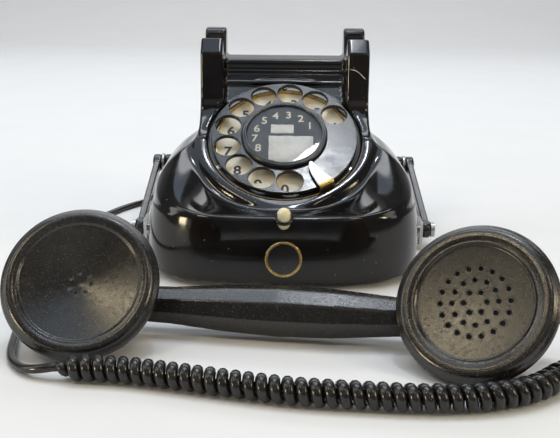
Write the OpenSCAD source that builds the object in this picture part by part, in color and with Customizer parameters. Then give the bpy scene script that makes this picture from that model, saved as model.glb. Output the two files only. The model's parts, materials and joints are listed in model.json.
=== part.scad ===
// Desk telephone with a cradle on two posts, a slanted dial and a handset
// that lies on the table in front of it. Millimetres, +Z up, -Y to the front.
// The origin is on the table under the middle of the telephone and handset together.

/* [Housing] */
// Width of the housing at its widest
body_w = 138; // [134:1:142]
// Depth of the housing from front wall to rear wall
body_d = 126; // [124:1:130]
// Height of the shoulder line where the front wall turns in
shoulder_z = 36; // [34:0.5:38]
// Height at which the tower's foot blends out of the housing
foot_blend_z = 60; // [57:0.5:61]
// Wall thickness of the moulded shell
wall = 3; // [2.4:0.1:3.4]
// Height of the rubber feet under the housing's lower edge
foot_h = 3.5; // [3:0.1:4]
// Thickness of the sheet base plate
base_t = 1.5; // [1:0.1:2]

/* [Tower] */
// Width across the outer faces of the two posts
tower_w = 89; // [87:0.5:91]
// Thickness of each post
post_w = 11.7; // [11:0.1:12.5]
// Height of the front edge of the posts
post_front_z = 104; // [102:0.5:106]
// Height of the top of the front horns
horn_front_z = 111; // [109.5:0.5:112.5]
// Height of the top of the rear horns
horn_rear_z = 114.7; // [113.5:0.1:116]
// Height of the bottom of the cradle notches
notch_z = 100; // [99:0.5:101]
// Width of the cradle notches from horn to horn
notch_w = 24; // [23:0.5:25]
// Distance of the notch's middle behind the origin
notch_y = 33.5; // [33:0.1:34]

/* [Dial] */
// Tilt of the dial from the horizontal
dial_tilt = 37.7; // [37:0.1:38.4]
// Height of the finger wheel's middle
dial_z = 64; // [63.5:0.1:64.5]
// Distance of the finger wheel's middle in front of the origin
dial_front = 6.9; // [6.5:0.1:7.3]
// Diameter of the finger wheel
wheel_d = 75; // [74:0.5:76]
// Thickness of the finger wheel
wheel_t = 2.2; // [1.8:0.1:2.4]
// Diameter of each finger hole
finger_d = 13.9; // [13:0.1:14.2]
// Radius of the circle of finger holes
finger_ring_r = 30; // [29.5:0.1:30.3]
// Angle of the first finger hole
first_hole = 30; // [28:1:32]
// Outside diameter of the raised ring on the wheel
bezel_d = 44; // [42:0.5:44.5]
// Direction of the finger stop
stop_angle = -57; // [-59:1:-55]

/* [Gears] */
// Module of the gear teeth
gear_m = 0.6; // [0.6:0.01:0.62]
// Teeth of the main gear on the dial shaft
main_teeth = 66; // [66:1:66]
// Teeth of the impulse pinion and of the governor pinion
pinion_teeth = 10; // [10:1:10]
// Teeth of the wheel that drives the governor
drive_teeth = 30; // [30:1:30]

/* [Handset] */
// Diameter of the receiver cap and the transmitter cap
cap_d = 62; // [60:0.5:62.5]
// Distance between the middles of the two caps
cap_span = 150.6; // [149:0.2:152]
// Inward tilt of the receiver cap
receiver_tilt = 6.5; // [5:0.5:8]
// Inward tilt of the transmitter cap
mouth_tilt = 20; // [18:0.5:21]
// Width of the grip at its middle
grip_w = 22; // [21:0.5:22.5]
// Distance of the grip's middle line behind the caps
grip_back = 28; // [27.5:0.1:28.5]

/* [Carrying bail] */
// Length of each arm from its pivot to the grip rod
arm_len = 75.7; // [75:0.1:77]
// Rise of the arms at rest
arm_rise = 15.3; // [15:0.1:17]
// Diameter of the bail's grip
bail_grip_d = 10.6; // [9.6:0.2:11]

/* [Button and badge] */
// Diameter of the call button
button_d = 6.2; // [5.8:0.1:6.4]
// Outside diameter of the badge ring
badge_d = 17.6; // [16.5:0.1:18.5]

/* [Ringer] */
// Diameter of each gong
gong_d = 44; // [42:0.5:44]
// Distance between the two gong posts
gong_span = 52; // [51.8:0.1:52.6]

/* [Cord] */
// Outside diameter of the curly part of the cord
coil_d = 10.4; // [9.8:0.1:10.6]
// Diameter of the smooth cord
cord_d = 3.6; // [3.2:0.1:3.8]

/* [Hidden] */
$fn = 64;

black = [0.03, 0.03, 0.035];
nickel = [0.75, 0.74, 0.7];
brass = [0.75, 0.6, 0.3];
ivory = [0.88, 0.83, 0.68];

// Clearance between parts that touch but move, and of running fits, per side
gap = 0.3;
run = 0.05;

// ---- helpers ----------------------------------------------------------

// Distance from the middle to a superellipse in the direction u
plan_n = 3.5;
function plan_r(u, a, b) = pow(pow(abs(cos(u)) / a, plan_n) + pow(abs(sin(u)) / b, plan_n), -1 / plan_n);
function plan_pt(u, a, b) = plan_r(u, a, b) * [cos(u), sin(u)];

// Points of an arc in the plane
function arc(c, r, a0, a1, n = 8) =
    [for (i = [0:n]) c + r * [cos(a0 + (a1 - a0) * i / n), sin(a0 + (a1 - a0) * i / n)]];

// A solid through a stack of closed rings, each with n points
module skin(rings, low, high) {
    n = len(rings[0]);
    m = len(rings);
    points = [for (r = rings) each r];
    polyhedron(
        points = [each points, low, high],
        faces = [
            for (k = [0:m - 2], i = [0:n - 1])
                [k * n + i, k * n + (i + 1) % n, (k + 1) * n + (i + 1) % n],
            for (k = [0:m - 2], i = [0:n - 1])
                [k * n + i, (k + 1) * n + (i + 1) % n, (k + 1) * n + i],
            for (i = [0:n - 1]) [m * n, (i + 1) % n, i],
            for (i = [0:n - 1]) [m * n + 1, (m - 1) * n + i, (m - 1) * n + (i + 1) % n]
        ]);
}

// Extrudes an outline drawn in Y and Z over a width along X, from x0
module along_x(x0, width) {
    translate([x0, 0, 0]) rotate([90, 0, 90]) linear_extrude(width) children();
}

// Middle of the box round the telephone and its handset, moved onto the origin
place = [2.5, 40.5, 0];
module placed() {
    translate(place) children();
}

// Puts children on both sides of the telephone
module both_sides() {
    children();
    mirror([1, 0, 0]) children();
}

// The dial's own place: z up out of the dial, y up its slope
module at_dial() {
    translate([0, -dial_front, dial_z]) rotate([dial_tilt, 0, 0]) children();
}

module ring(ro, ri, h) {
    difference() {
        cylinder(r = ro, h = h);
        translate([0, 0, -1]) cylinder(r = ri, h = h + 2);
    }
}

// Points on the dial's slope: t up the slope, h out of the dial
function dial_yz(t, h) = [-dial_front + t * cos(dial_tilt) - h * sin(dial_tilt),
    dial_z + t * sin(dial_tilt) + h * cos(dial_tilt)];

// ---- housing ----------------------------------------------------------

plan_step = 6;
ring_w = 4.5;
pocket_r = wheel_d / 2 + 2.1;
drum_r = pocket_r + ring_w;
case_r = pocket_r - 3.6;
dial_screw_r = pocket_r - 1.9;
ring_h = -2;
pocket_h = -4.5;
drum_low = -17;
inner_x = tower_w / 2 - post_w;
tower_rear = body_d / 2 - 4.5;
recess_t = pocket_r + 0.2;

// Height and scale of the rings of the upright wall, from the table up
wall_rings = [[0, 0.98], [8, 0.995], [13, 1], [22, 0.997], [30, 0.984], [shoulder_z, 0.963]];
// Steps of the surface from the shoulder to the tower's foot
roof_steps = [0.12, 0.25, 0.4, 0.55, 0.7, 0.85, 1];

tower_front = dial_yz(-drum_r, ring_h)[0] - 0.5;
tower_mid_y = (tower_rear + tower_front) / 2;
tower_half_d = (tower_rear - tower_front) / 2;
function ring_plane(y) = dial_yz(0, ring_h)[1] + tan(dial_tilt) * (y - dial_yz(0, ring_h)[0]);
function rise(s) = pow(1 - pow(1 - s, 1.6), 1 / 1.6);
function roof_pt(u, s, off) =
    let (
        k = wall_rings[len(wall_rings) - 1][1],
        outer = plan_pt(u, k * body_w / 2 - off, k * body_d / 2 - off),
        inner = plan_pt(u, drum_r + 1 - off, tower_half_d - off) + [0, tower_mid_y],
        top = min(foot_blend_z, ring_plane(inner[1]) - 1.5),
        p = outer * (1 - s) + inner * s
    ) [p[0], p[1], shoulder_z - off + (top - shoulder_z) * rise(s)];

module body_form(off) {
    wall_part = [for (r = wall_rings) [for (u = [0:-plan_step:-359])
        let (p = plan_pt(u, r[1] * body_w / 2 - off, r[1] * body_d / 2 - off))
        [p[0], p[1], r[0] == shoulder_z || r[0] == 0 ? r[0] - off : r[0]]]];
    roof_part = [for (s = roof_steps) [for (u = [0:-plan_step:-359]) roof_pt(u, s, off)]];
    skin([each wall_part, each roof_part], [0, 0, -off], [0, tower_mid_y, 50 - off]);
}

// Outline of a post with its two horns and the cradle notch
front_top = [13, post_front_z];
horn_back = notch_y - notch_w / 2;
rear_front = notch_y + notch_w / 2;
notch_r = 7;
rear_r = (tower_rear - 1 - rear_front) / 2;
post_foot = -4;
mid_foot = -6;
bend_t = 20.9;
bend_r = 15;
function post_outline() =
    let (
        foot = dial_yz(post_foot, ring_h),
        bend = dial_yz(bend_t, ring_h),
        d1 = (foot - bend) / norm(foot - bend),
        d2 = (front_top - bend) / norm(front_top - bend),
        half = acos(d1 * d2) / 2,
        reach = bend_r / tan(half),
        mid = (d1 + d2) / norm(d1 + d2) * bend_r / sin(half) + bend,
        a0 = atan2((bend + d1 * reach - mid)[1], (bend + d1 * reach - mid)[0]),
        a1 = atan2((bend + d2 * reach - mid)[1], (bend + d2 * reach - mid)[0])
    ) [
        foot,
        each arc(mid, bend_r, a0, a1),
        front_top,
        [horn_back - 1.2, horn_front_z],
        [horn_back, horn_front_z - 0.6],
        each arc([horn_back + 0.8 + notch_r, notch_z + notch_r], notch_r, 180, 270),
        each arc([rear_front - 0.8 - notch_r, notch_z + notch_r], notch_r, 270, 360),
        each arc([rear_front + rear_r, horn_rear_z - rear_r], rear_r, 180, 0, 12),
        [tower_rear, foot_blend_z - 5],
        [tower_rear, 50],
        [foot[0], 50]
    ];

// Outline of the tower between the posts, with the cross bar at its top
bar_y = notch_y + 3.5;
bar_low = 92.5;
function mid_outline() = [
    dial_yz(mid_foot, ring_h),
    dial_yz(recess_t + 1.7, ring_h),
    [bar_y - 2, bar_low - 1],
    [bar_y, bar_low],
    each arc([bar_y + 2.5, notch_z - 4], 2.5, 180, 100, 6),
    [tower_rear - 7.5, notch_z - 0.6],
    each arc([tower_rear - 6, notch_z - 5.2], 4.6, 90, 10, 6),
    [tower_rear, foot_blend_z - 5],
    [tower_rear, 50],
    [dial_yz(mid_foot, ring_h)[0], 50]
];

cavity_h = -7.5;
function mid_cavity() = [
    dial_yz(0, -20),
    dial_yz(0, cavity_h),
    dial_yz(recess_t - 1.8, cavity_h),
    [bar_y + 1, bar_low - 4.5],
    [tower_rear - 5, bar_low - 4.5],
    [tower_rear - wall, 60],
    [tower_rear - wall, 36],
    [0, 36]
];

// Places that several parts share
screw_xy = [body_w / 2 - 19, body_d / 2 - 16];
screw_r = 1.6;
floor_z = foot_h + base_t;
boss_r = 5;
button_z = 35.5;
button_y = body_d / 2 - 1;
button_tilt = 40;
button_boss_r = 5.5;
boss_end = -9.6;
rod_x = tower_w / 2 - post_w / 2;
yoke_z = 76;
plunger_r = 3.8;
rod_r = 2;
grommet_x = 24;
gland_x = -32;
inlet_z = 12;
inlet_r = 4.5;
flange_w = 1.6;
function inlet_y(x) = plan_pt(atan2(body_d * 0.46, abs(x) - inlet_r - flange_w), body_w / 2, body_d / 2)[1];

module at_button() {
    translate([0, -button_y, button_z]) rotate([button_tilt, 0, 0]) children();
}

module corner_places() {
    for (x = [-1, 1], y = [-1, 1]) translate([x * screw_xy[0], y * screw_xy[1], 0]) children();
}

module drum_form() {
    at_dial() translate([0, 0, drum_low]) cylinder(r = drum_r, h = ring_h - drum_low, $fn = 96);
}

module post_form() {
    both_sides() along_x(inner_x, post_w) polygon(post_outline());
}

module mid_form() {
    along_x(-inner_x, 2 * inner_x) polygon(mid_outline());
}

// Dial well and pocket, square recess, hollow tower and plunger bores
module tower_cuts() {
    at_dial() {
        translate([0, 0, -60]) cylinder(r = case_r + 0.4, h = 90);
        translate([0, 0, pocket_h]) cylinder(r = pocket_r, h = 40, $fn = 96);
        translate([-inner_x + 1.4, 0, -4]) cube([2 * inner_x - 2.8, recess_t, 6]);
    }
    along_x(-inner_x + 2, 2 * inner_x - 4) polygon(mid_cavity());
    translate([-rod_x - 2.85, 28, 66]) cube([2 * rod_x + 5.7, 25, 18]);
    both_sides() translate([rod_x, notch_y, 0]) {
        translate([0, 0, 80]) cylinder(r = rod_r + run, h = 30);
        translate([0, 0, notch_z - 8.5]) cylinder(r = plunger_r + 0.1, h = 20);
    }
}

// Screw bosses in the corners and the boss behind the button
module boss_form() {
    corner_places() translate([0, 0, floor_z]) cylinder(r = boss_r, h = shoulder_z - 1 - floor_z);
    at_button() translate([0, 0, boss_end]) cylinder(r = button_boss_r, h = 8.6);
}

// Everything below the housing's lower edge, and the holes in its shell
module shell_bores() {
    translate([-body_w, -body_d, -foot_h]) cube([2 * body_w, 2 * body_d, 2 * foot_h]);
    corner_places() cylinder(r = screw_r, h = 20);
    at_button() translate([0, 0, -12]) cylinder(r = button_d / 2 + 0.1, h = 30);
    for (x = [gland_x, grommet_x])
        translate([x, body_d / 2 + 5, inlet_z]) rotate([90, 0, 0]) cylinder(r = inlet_r, h = 16);
}

module housing() {
    color(black) placed() {
        difference() {
            body_form(0);
            body_form(wall);
            drum_form();
            post_form();
            mid_form();
            tower_cuts();
            shell_bores();
        }
        difference() {
            boss_form();
            shell_bores();
        }
    }
}

// The housing's upper parts, which meet it and one another face to face
module dial_surround() {
    color(black) placed() difference() {
        drum_form();
        translate([-tower_w, dial_yz(post_foot, ring_h)[0], 0]) cube([2 * tower_w, body_d, post_front_z]);
        tower_cuts();
    }
}

module cradle_posts() {
    color(black) placed() difference() {
        post_form();
        tower_cuts();
    }
}

module cradle_bar() {
    color(black) placed() difference() {
        mid_form();
        tower_cuts();
    }
}

module base_plate() {
    low = foot_h;
    color([0.25, 0.25, 0.24]) placed() difference() {
        translate([0, 0, low]) linear_extrude(base_t) polygon([for (u = [0:plan_step:359])
            plan_pt(u, body_w * 0.4925 - wall - 0.4, body_d * 0.4925 - wall - 0.4)]);
        corner_places() translate([0, 0, low - 1]) cylinder(r = 2, h = 5);
    }
}

foot_xy = [body_w / 2 - 19, body_d / 2 - 33];
module rubber_feet() {
    color([0.08, 0.08, 0.08]) placed() for (x = [-1, 1], y = [-1, 1])
        translate([x * foot_xy[0], y * foot_xy[1], 0]) cylinder(r1 = 5.5, r2 = 6.2, h = foot_h);
}

module base_screws() {
    color(nickel) placed() corner_places() {
        translate([0, 0, foot_h - 1.6]) cylinder(r = 3.2, h = 1.6);
        translate([0, 0, foot_h]) cylinder(r = screw_r, h = 12);
    }
}

badge_z = 16;
badge_t = 1;
badge_face = body_d / 2 + badge_t;
module badge_ring() {
    color(brass) placed() translate([0, -badge_face, badge_z]) rotate([-90, 0, 0]) {
        ring(badge_d / 2, badge_d / 2 - 1.6, badge_t);
        translate([0, 0, badge_t / 2]) cylinder(r = badge_d / 2 - 1.6, h = badge_t / 2);
    }
}

// ---- dial -------------------------------------------------------------

shaft_r = 3;
case_floor = -14;
bridge_low = -33;
main_z = -19.5;
pinion_d = gear_m * (main_teeth + pinion_teeth) / 2;
gov_d = gear_m * (drive_teeth + pinion_teeth) / 2;
axle_r = 1;
gov_angle = -14.5;
function gov_xy() = [0, pinion_d] + gov_d * [cos(gov_angle), sin(gov_angle)];
bridge_r = norm(gov_xy()) + 4;
post_at = bridge_r - 3.5;

module dial_case() {
    color(brass) placed() at_dial() difference() {
        union() {
            translate([0, 0, pocket_h]) cylinder(r = pocket_r - 0.4, h = 1);
            translate([0, 0, case_floor]) cylinder(r = case_r, h = pocket_h - case_floor);
        }
        translate([0, 0, case_floor + 1]) cylinder(r = case_r - 0.8, h = 20);
        translate([0, 0, case_floor - 1]) cylinder(r = shaft_r + run, h = 5);
        for (a = [90, 210, 330]) rotate(a) translate([dial_screw_r, 0, pocket_h - 1])
            cylinder(r = 0.8, h = 4);
        for (p = [[0, pinion_d], gov_xy()]) translate([p[0], p[1], case_floor - 1])
            cylinder(r = axle_r + run, h = 5);
    }
}

module number_plate() {
    color(ivory) placed() at_dial() translate([0, 0, -6.3]) ring(case_r - 0.9, 8, 0.8);
}

stop_tip = wheel_d / 2 - 14.3;
module finger_stop() {
    color(nickel) placed() at_dial() rotate(stop_angle) {
        translate([wheel_d / 2 + 0.7, -4, pocket_h + 1]) cube([1, 8, 5.5]);
        translate([0, 0, 0.9]) linear_extrude(0.8) polygon([[wheel_d / 2 + 1.7, -4],
            [wheel_d / 2 + 1.7, 4], [stop_tip + 9.8, 3.6], [stop_tip + 4.8, 2.8],
            [stop_tip + 0.2, 1.8], [stop_tip, 1.1], [stop_tip + 4.8, 0], [stop_tip + 9.8, -2.2]]);
    }
}

module dial_screws() {
    color(nickel) placed() at_dial() for (a = [90, 210, 330]) rotate(a) translate([dial_screw_r, 0, 0]) {
        translate([0, 0, pocket_h + 1]) cylinder(r = 1.3, h = 0.7);
        translate([0, 0, pocket_h]) cylinder(r = 0.8, h = 1);
    }
}

module dial_bridge() {
    color(brass) placed() at_dial() difference() {
        union() {
            translate([0, 0, bridge_low]) cylinder(r = bridge_r, h = 1.5);
            for (a = [30, 150, 270]) rotate(a) translate([post_at, 0, bridge_low + 1])
                cylinder(r = 2.5, h = case_floor - bridge_low - 1);
        }
        translate([0, 0, bridge_low - 1]) cylinder(r = shaft_r + run, h = 5);
        for (p = [[0, pinion_d], gov_xy()]) translate([p[0], p[1], bridge_low - 1])
            cylinder(r = axle_r + run, h = 5);
    }
}

module mainspring() {
    color([0.35, 0.38, 0.42]) placed() at_dial() translate([0, 0, bridge_low + 1.5])
        ring(8, shaft_r + 0.4, 5);
}

module pulse_contacts() {
    color(nickel) placed() at_dial() translate([-7, pinion_d, 0]) {
        for (x = [0, 2, 4]) translate([-x - 0.4, -6, bridge_low + 2.5]) cube([0.4, 12, 5]);
        translate([-8, -9, bridge_low + 1.5]) cube([8, 4, 7]);
    }
}

function hole_angle(k) = first_hole + k * 180 * pinion_teeth / main_teeth;

module finger_wheel() {
    color(black) placed() at_dial() {
        difference() {
            translate([0, 0, -wheel_t]) cylinder(r = wheel_d / 2, h = wheel_t, $fn = 96);
            for (k = [0:9]) rotate(hole_angle(k)) translate([finger_ring_r, 0, -wheel_t - 1])
                cylinder(r = finger_d / 2, h = wheel_t + 2);
            translate([0, 0, -wheel_t - 1]) cylinder(r = shaft_r, h = wheel_t + 2);
        }
        translate([0, 0, -5]) ring(7, shaft_r, 5 - wheel_t);
    }
}

bezel_r = bezel_d / 2;
window_r = bezel_r - 3.2;
module dial_bezel() {
    color(black) placed() at_dial() {
        ring(bezel_r, window_r, 1.7);
        translate([0, 0, 1.7]) ring(bezel_r - 0.4, window_r - 0.7, 0.7);
    }
}

module number_card() {
    color([0.2, 0.2, 0.2]) placed() at_dial() cylinder(r = window_r - 0.1, h = 0.5);
}

module card_window() {
    color([0.8, 0.85, 0.9, 0.3]) placed() at_dial() translate([0, 0, 0.8])
        cylinder(r = window_r - 0.1, h = 0.9);
}

module dial_shaft() {
    color(nickel) placed() at_dial() translate([0, 0, bridge_low - 1.5])
        cylinder(r = shaft_r, h = -bridge_low + 1.5);
}

// A spur gear: straight flanks, thinned a little for backlash
module gear(n, h, bore) {
    r = gear_m * n / 2;
    w = 360 / n;
    difference() {
        linear_extrude(h) polygon([for (i = [0:n - 1], p = [
            [r - 0.7, -0.36], [r + 0.05, -0.19], [r + 0.45, -0.07],
            [r + 0.45, 0.07], [r + 0.05, 0.19], [r - 0.7, 0.36]])
            p[0] * [cos((i + p[1]) * w), sin((i + p[1]) * w)]]);
        translate([0, 0, -1]) cylinder(r = bore, h = h + 2);
    }
}

module main_gear() {
    color(brass) placed() at_dial() translate([0, 0, main_z]) gear(main_teeth, 1.5, shaft_r);
}

// Turn of gear b that puts its gaps on the teeth of gear a, which it meets at an angle
function meets(angle, teeth_a, turn_a, teeth_b) =
    let (a = (angle - turn_a) * teeth_a / 360) angle + 180 - (0.5 - a + floor(a)) * 360 / teeth_b;
pinion_turn = meets(90, main_teeth, 0, pinion_teeth);
governor_turn = meets(gov_angle, drive_teeth, 0, pinion_teeth);

module impulse_pinion() {
    color(nickel) placed() at_dial() translate([0, pinion_d, 0]) {
        translate([0, 0, bridge_low]) cylinder(r = axle_r, h = case_floor + 1 - bridge_low);
        translate([0, 0, main_z - 0.5]) rotate(pinion_turn) gear(pinion_teeth, 2.5, axle_r);
        translate([0, 0, -23]) gear(drive_teeth, 1.3, axle_r);
        translate([0, 0, -27]) difference() {
            intersection() {
                translate([0, 2.2, 0]) cylinder(r = 5.4, h = 1.5);
                translate([0, -2.2, 0]) cylinder(r = 5.4, h = 1.5);
            }
            translate([0, 0, -1]) cylinder(r = axle_r, h = 4);
        }
    }
}

module governor() {
    g = gov_xy();
    color(nickel) placed() at_dial() translate([g[0], g[1], 0]) {
        translate([0, 0, bridge_low]) cylinder(r = axle_r, h = case_floor + 1 - bridge_low);
        translate([0, 0, -23.3]) rotate(governor_turn) gear(pinion_teeth, 1.9, axle_r);
        for (a = [0, 180]) rotate(a) translate([0, 0, -30]) difference() {
            intersection() {
                cylinder(r = 5, h = 4);
                translate([0, -3, 0]) cube([6, 6, 4]);
            }
            translate([0, 0, -1]) cylinder(r = axle_r, h = 6);
        }
    }
}

// ---- call button ------------------------------------------------------

flange_r = 4.4;
flange_t = 1.6;
flange_z = boss_end - gap - flange_t;
blade_z = flange_z - 2.8;
module call_button() {
    color(ivory) placed() at_button() {
        translate([0, 0, flange_z]) cylinder(r = button_d / 2, h = 3.5 - flange_z);
        translate([0, 0, 3.5]) intersection() {
            sphere(r = button_d / 2);
            translate([0, 0, button_d / 2]) cube(button_d, center = true);
        }
        translate([0, 0, flange_z]) cylinder(r = flange_r, h = flange_t);
    }
}

module button_collar() {
    color(black) placed() at_button() translate([0, 0, 0.2])
        ring(button_d / 2 + 1.3, button_d / 2 + 0.1, 1.2);
}

module button_spring() {
    color(nickel) placed() at_button() {
        translate([-2, -6, blade_z]) cube([4, 13, 0.4]);
        translate([-3, flange_r + gap, blade_z + 0.4]) cube([6, 2.3, boss_end - blade_z - 0.4]);
    }
}

// ---- cradle switch ----------------------------------------------------

module cradle_plungers() {
    color(black) placed() both_sides() translate([rod_x, notch_y, 0]) {
        translate([0, 0, notch_z - 4]) cylinder(r = plunger_r, h = 7);
        translate([0, 0, notch_z + 3]) cylinder(r1 = plunger_r, r2 = 2.6, h = 1.4);
        translate([0, 0, yoke_z]) cylinder(r = rod_r, h = notch_z - 4 - yoke_z);
    }
}

yoke_front = 2.6;
module hook_yoke() {
    color(nickel) placed() difference() {
        translate([-rod_x - 2.4, notch_y - yoke_front, yoke_z])
            cube([2 * rod_x + 4.8, 10 + yoke_front, 2]);
        both_sides() translate([rod_x, notch_y, yoke_z - 1]) cylinder(r = rod_r, h = 6);
    }
}

spring_y = notch_y + 6.5;
module hook_springs() {
    color(nickel) placed() both_sides() translate([rod_x - 0.3, spring_y, 66]) ring(2.3, 1.7, yoke_z - 66);
}

lever_y = tower_rear - 9.3;
lever_z = yoke_z - 3;
lever_arm = lever_y - notch_y - 2.7;
tail_t = 1.6;
tail_len = 7.4;
pin_r = 1.5;
bracket_back = tower_rear - wall - 1.3;
module hook_bracket() {
    color(nickel) placed() {
        translate([-11, lever_y - 3.5, 48]) cube([1.2, bracket_back - lever_y + 3.5, 29]);
        translate([9.8, lever_y - 3.5, 48]) cube([1.2, bracket_back - lever_y + 3.5, 29]);
        translate([-11, bracket_back - 1.4, 48]) cube([22, 1.4, 29]);
        translate([-11, lever_y, lever_z]) rotate([0, 90, 0]) cylinder(r = pin_r, h = 22);
    }
}

module hook_lever() {
    color(brass) placed() difference() {
        union() {
            translate([-6, lever_y, lever_z]) rotate([0, 90, 0]) cylinder(r = 3, h = 12);
            translate([-4, lever_y - lever_arm, lever_z - 1.5]) cube([8, lever_arm, 1.8]);
            translate([-4, lever_y - lever_arm, lever_z]) cube([8, 2, 2.5]);
            translate([-2, lever_y - tail_t / 2, lever_z - tail_len]) cube([4, tail_t, tail_len - 0.5]);
        }
        translate([-8, lever_y, lever_z]) rotate([0, 90, 0]) cylinder(r = pin_r + run, h = 16);
    }
}

blade_t = 0.4;
module hook_contacts() {
    color(nickel) placed() {
        for (y = [0, 2, 4]) translate([-6, lever_y - tail_t / 2 - gap - blade_t - y, 52])
            cube([12, blade_t, 16]);
        translate([-7, lever_y - 8, 46]) cube([14, 7.5, 6.5]);
    }
}

// ---- ringer and circuit parts -----------------------------------------

gong_y = body_d / 2 - 29;
gong_top = 36;

module gong() {
    r = gong_d / 2;
    rotate_extrude($fn = 96) polygon([[3, gong_top], [r - 6, gong_top], [r - 2, gong_top - 2],
        [r, gong_top - 6], [r, gong_top - 12], [r - 1.5, gong_top - 12],
        [r - 1.5, gong_top - 6.6], [r - 3, gong_top - 3.4], [r - 6.6, gong_top - 1.5],
        [3, gong_top - 1.5]]);
}

module left_gong() {
    color(nickel) placed() translate([-gong_span / 2, gong_y, 0]) gong();
}

module right_gong() {
    color(nickel) placed() translate([gong_span / 2, gong_y, 0]) gong();
}

module gong_posts() {
    color(nickel) placed() both_sides() translate([gong_span / 2, gong_y, 0]) {
        translate([0, 0, floor_z]) cylinder(r = 4.5, h = gong_top - 1.5 - floor_z);
        translate([0, 0, gong_top - 1.5]) cylinder(r = 3, h = 1.5);
        translate([0, 0, gong_top]) cylinder(r = 4.2, h = 1.6);
    }
}

clapper_y = gong_y - 26;
frame_w = 34;
frame_d = 14;
frame_y = clapper_y - 8;
clapper_z = 28;
module ringer_frame() {
    color(nickel) placed() {
        translate([-frame_w / 2, frame_y - 2, floor_z]) cube([frame_w, 2, 15]);
        translate([-frame_w / 2, frame_y, floor_z]) cube([frame_w, frame_d, 1.5]);
        translate([0, clapper_y, floor_z + 1.5]) cylinder(r = 1.5, h = 23);
    }
}

module ringer_coils() {
    color([0.5, 0.25, 0.12]) placed() both_sides()
        translate([9, frame_y - 2, 12.5]) rotate([90, 0, 0]) cylinder(r = 6.5, h = 18);
}

module clapper() {
    color(nickel) placed() {
        translate([0, clapper_y, 21]) ring(3.5, 1.5 + run, 4);
        translate([-0.8, clapper_y + 3.2, 22.2]) cube([1.6, gong_y - clapper_y - 3.2, 1.6]);
        translate([0, gong_y, 0]) {
            translate([0, 0, 22.2]) cylinder(r = 1.2, h = 4);
            translate([0, 0, clapper_z]) sphere(r = 2.9);
        }
        translate([-14, frame_y - 1.2, 22]) cube([28, 2, 2]);
        translate([-1, frame_y, 22]) cube([2, 5, 2]);
    }
}

row_y = -body_d / 2 + 11;
box_w = 25;
box_d = 17;
block_w = 26;
module induction_coil() {
    color([0.45, 0.3, 0.15]) placed() translate([-block_w / 2 - 2 - box_w, row_y, floor_z])
        cube([box_w, box_d, 16]);
}

module capacitor() {
    color([0.6, 0.6, 0.58]) placed() translate([block_w / 2 + 2, row_y, floor_z])
        cube([box_w, box_d, 17]);
}

block_h = 8;
module terminal_block() {
    color([0.3, 0.18, 0.1]) placed() translate([-block_w / 2, row_y + 2, floor_z])
        cube([block_w, 16, block_h]);
}

module terminal_screws() {
    color(brass) placed() for (x = [-9, -3, 3, 9], y = [6, 14])
        translate([x, row_y + y, floor_z + block_h]) cylinder(r = 1.8, h = 1.6);
}

// ---- carrying bail ----------------------------------------------------

pivot_y = 8;
pivot_z = 10;
arm_x = body_w / 2 + 7;
arm_t = 4;
pivot_r = 2;
bracket_x = arm_x - 2.1;
bracket_w = 12;
bracket_t = 1.2;
bar_half = arm_x - 2.6;
hub_y = pivot_y + arm_len * cos(arm_rise);
hub_z = pivot_z + arm_len * sin(arm_rise);

module bail_brackets() {
    color(nickel) placed() both_sides() difference() {
        union() {
            translate([bracket_x - 13.9, pivot_y - bracket_w / 2, foot_h - bracket_t])
                cube([15.5, bracket_w, bracket_t]);
            translate([bracket_x, pivot_y - bracket_w / 2, foot_h - bracket_t])
                cube([1.6, bracket_w, 13.5]);
        }
        translate([bracket_x - 5, pivot_y, pivot_z]) rotate([0, 90, 0]) cylinder(r = pivot_r, h = 10);
    }
}

module bail_pivot_screws() {
    color(nickel) placed() both_sides() translate([0, pivot_y, pivot_z]) rotate([0, 90, 0]) {
        translate([0, 0, bracket_x - 0.7]) cylinder(r = pivot_r, h = arm_x + arm_t + 1.1 - bracket_x);
        translate([0, 0, arm_x + arm_t + 0.4]) cylinder(r = 4, h = 2);
    }
}

module bail_arms() {
    color(black) placed() both_sides() difference() {
        union() {
            along_x(arm_x, arm_t) polygon([
                [pivot_y - 3.5 * sin(arm_rise), pivot_z + 3.5 * cos(arm_rise)],
                [pivot_y + 3.5 * sin(arm_rise), pivot_z - 3.5 * cos(arm_rise)],
                [hub_y + 3.5 * sin(arm_rise), hub_z - 3.5 * cos(arm_rise)],
                [hub_y - 3.5 * sin(arm_rise), hub_z + 3.5 * cos(arm_rise)]]);
            translate([arm_x, pivot_y, pivot_z]) rotate([0, 90, 0]) cylinder(r = 4.5, h = arm_t);
            translate([arm_x - 0.6, hub_y, hub_z]) rotate([0, 90, 0]) cylinder(r = 5.2, h = arm_t + 1.6);
        }
        translate([arm_x - 3, pivot_y, pivot_z]) rotate([0, 90, 0]) cylinder(r = pivot_r + run, h = 10);
        translate([arm_x - 3, hub_y, hub_z]) rotate([0, 90, 0]) cylinder(r = 2, h = 4);
    }
}

module bail_grip() {
    color(black) placed() translate([0, hub_y, hub_z]) rotate([0, 90, 0]) {
        translate([0, 0, -bar_half]) cylinder(r = bail_grip_d / 2, h = 2 * bar_half);
        translate([0, 0, -arm_x - 1]) cylinder(r = 2, h = 2 * arm_x + 2);
    }
}

module bail_collars() {
    color(nickel) placed() both_sides() translate([bar_half, hub_y, hub_z]) rotate([0, 90, 0])
        ring(bail_grip_d / 2 + 0.3, pivot_r, arm_x - 0.6 - bar_half);
}

// ---- inlets -----------------------------------------------------------

module inlet(x, bore) {
    translate([x, inlet_y(x) + gap, inlet_z]) rotate([-90, 0, 0]) {
        translate([0, 0, -6]) ring(inlet_r, bore, 6);
        ring(inlet_r + flange_w, bore, 1.8);
    }
}

module cord_gland() {
    color([0.06, 0.06, 0.06]) placed() inlet(gland_x, cord_d / 2 + 0.2);
}

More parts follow.
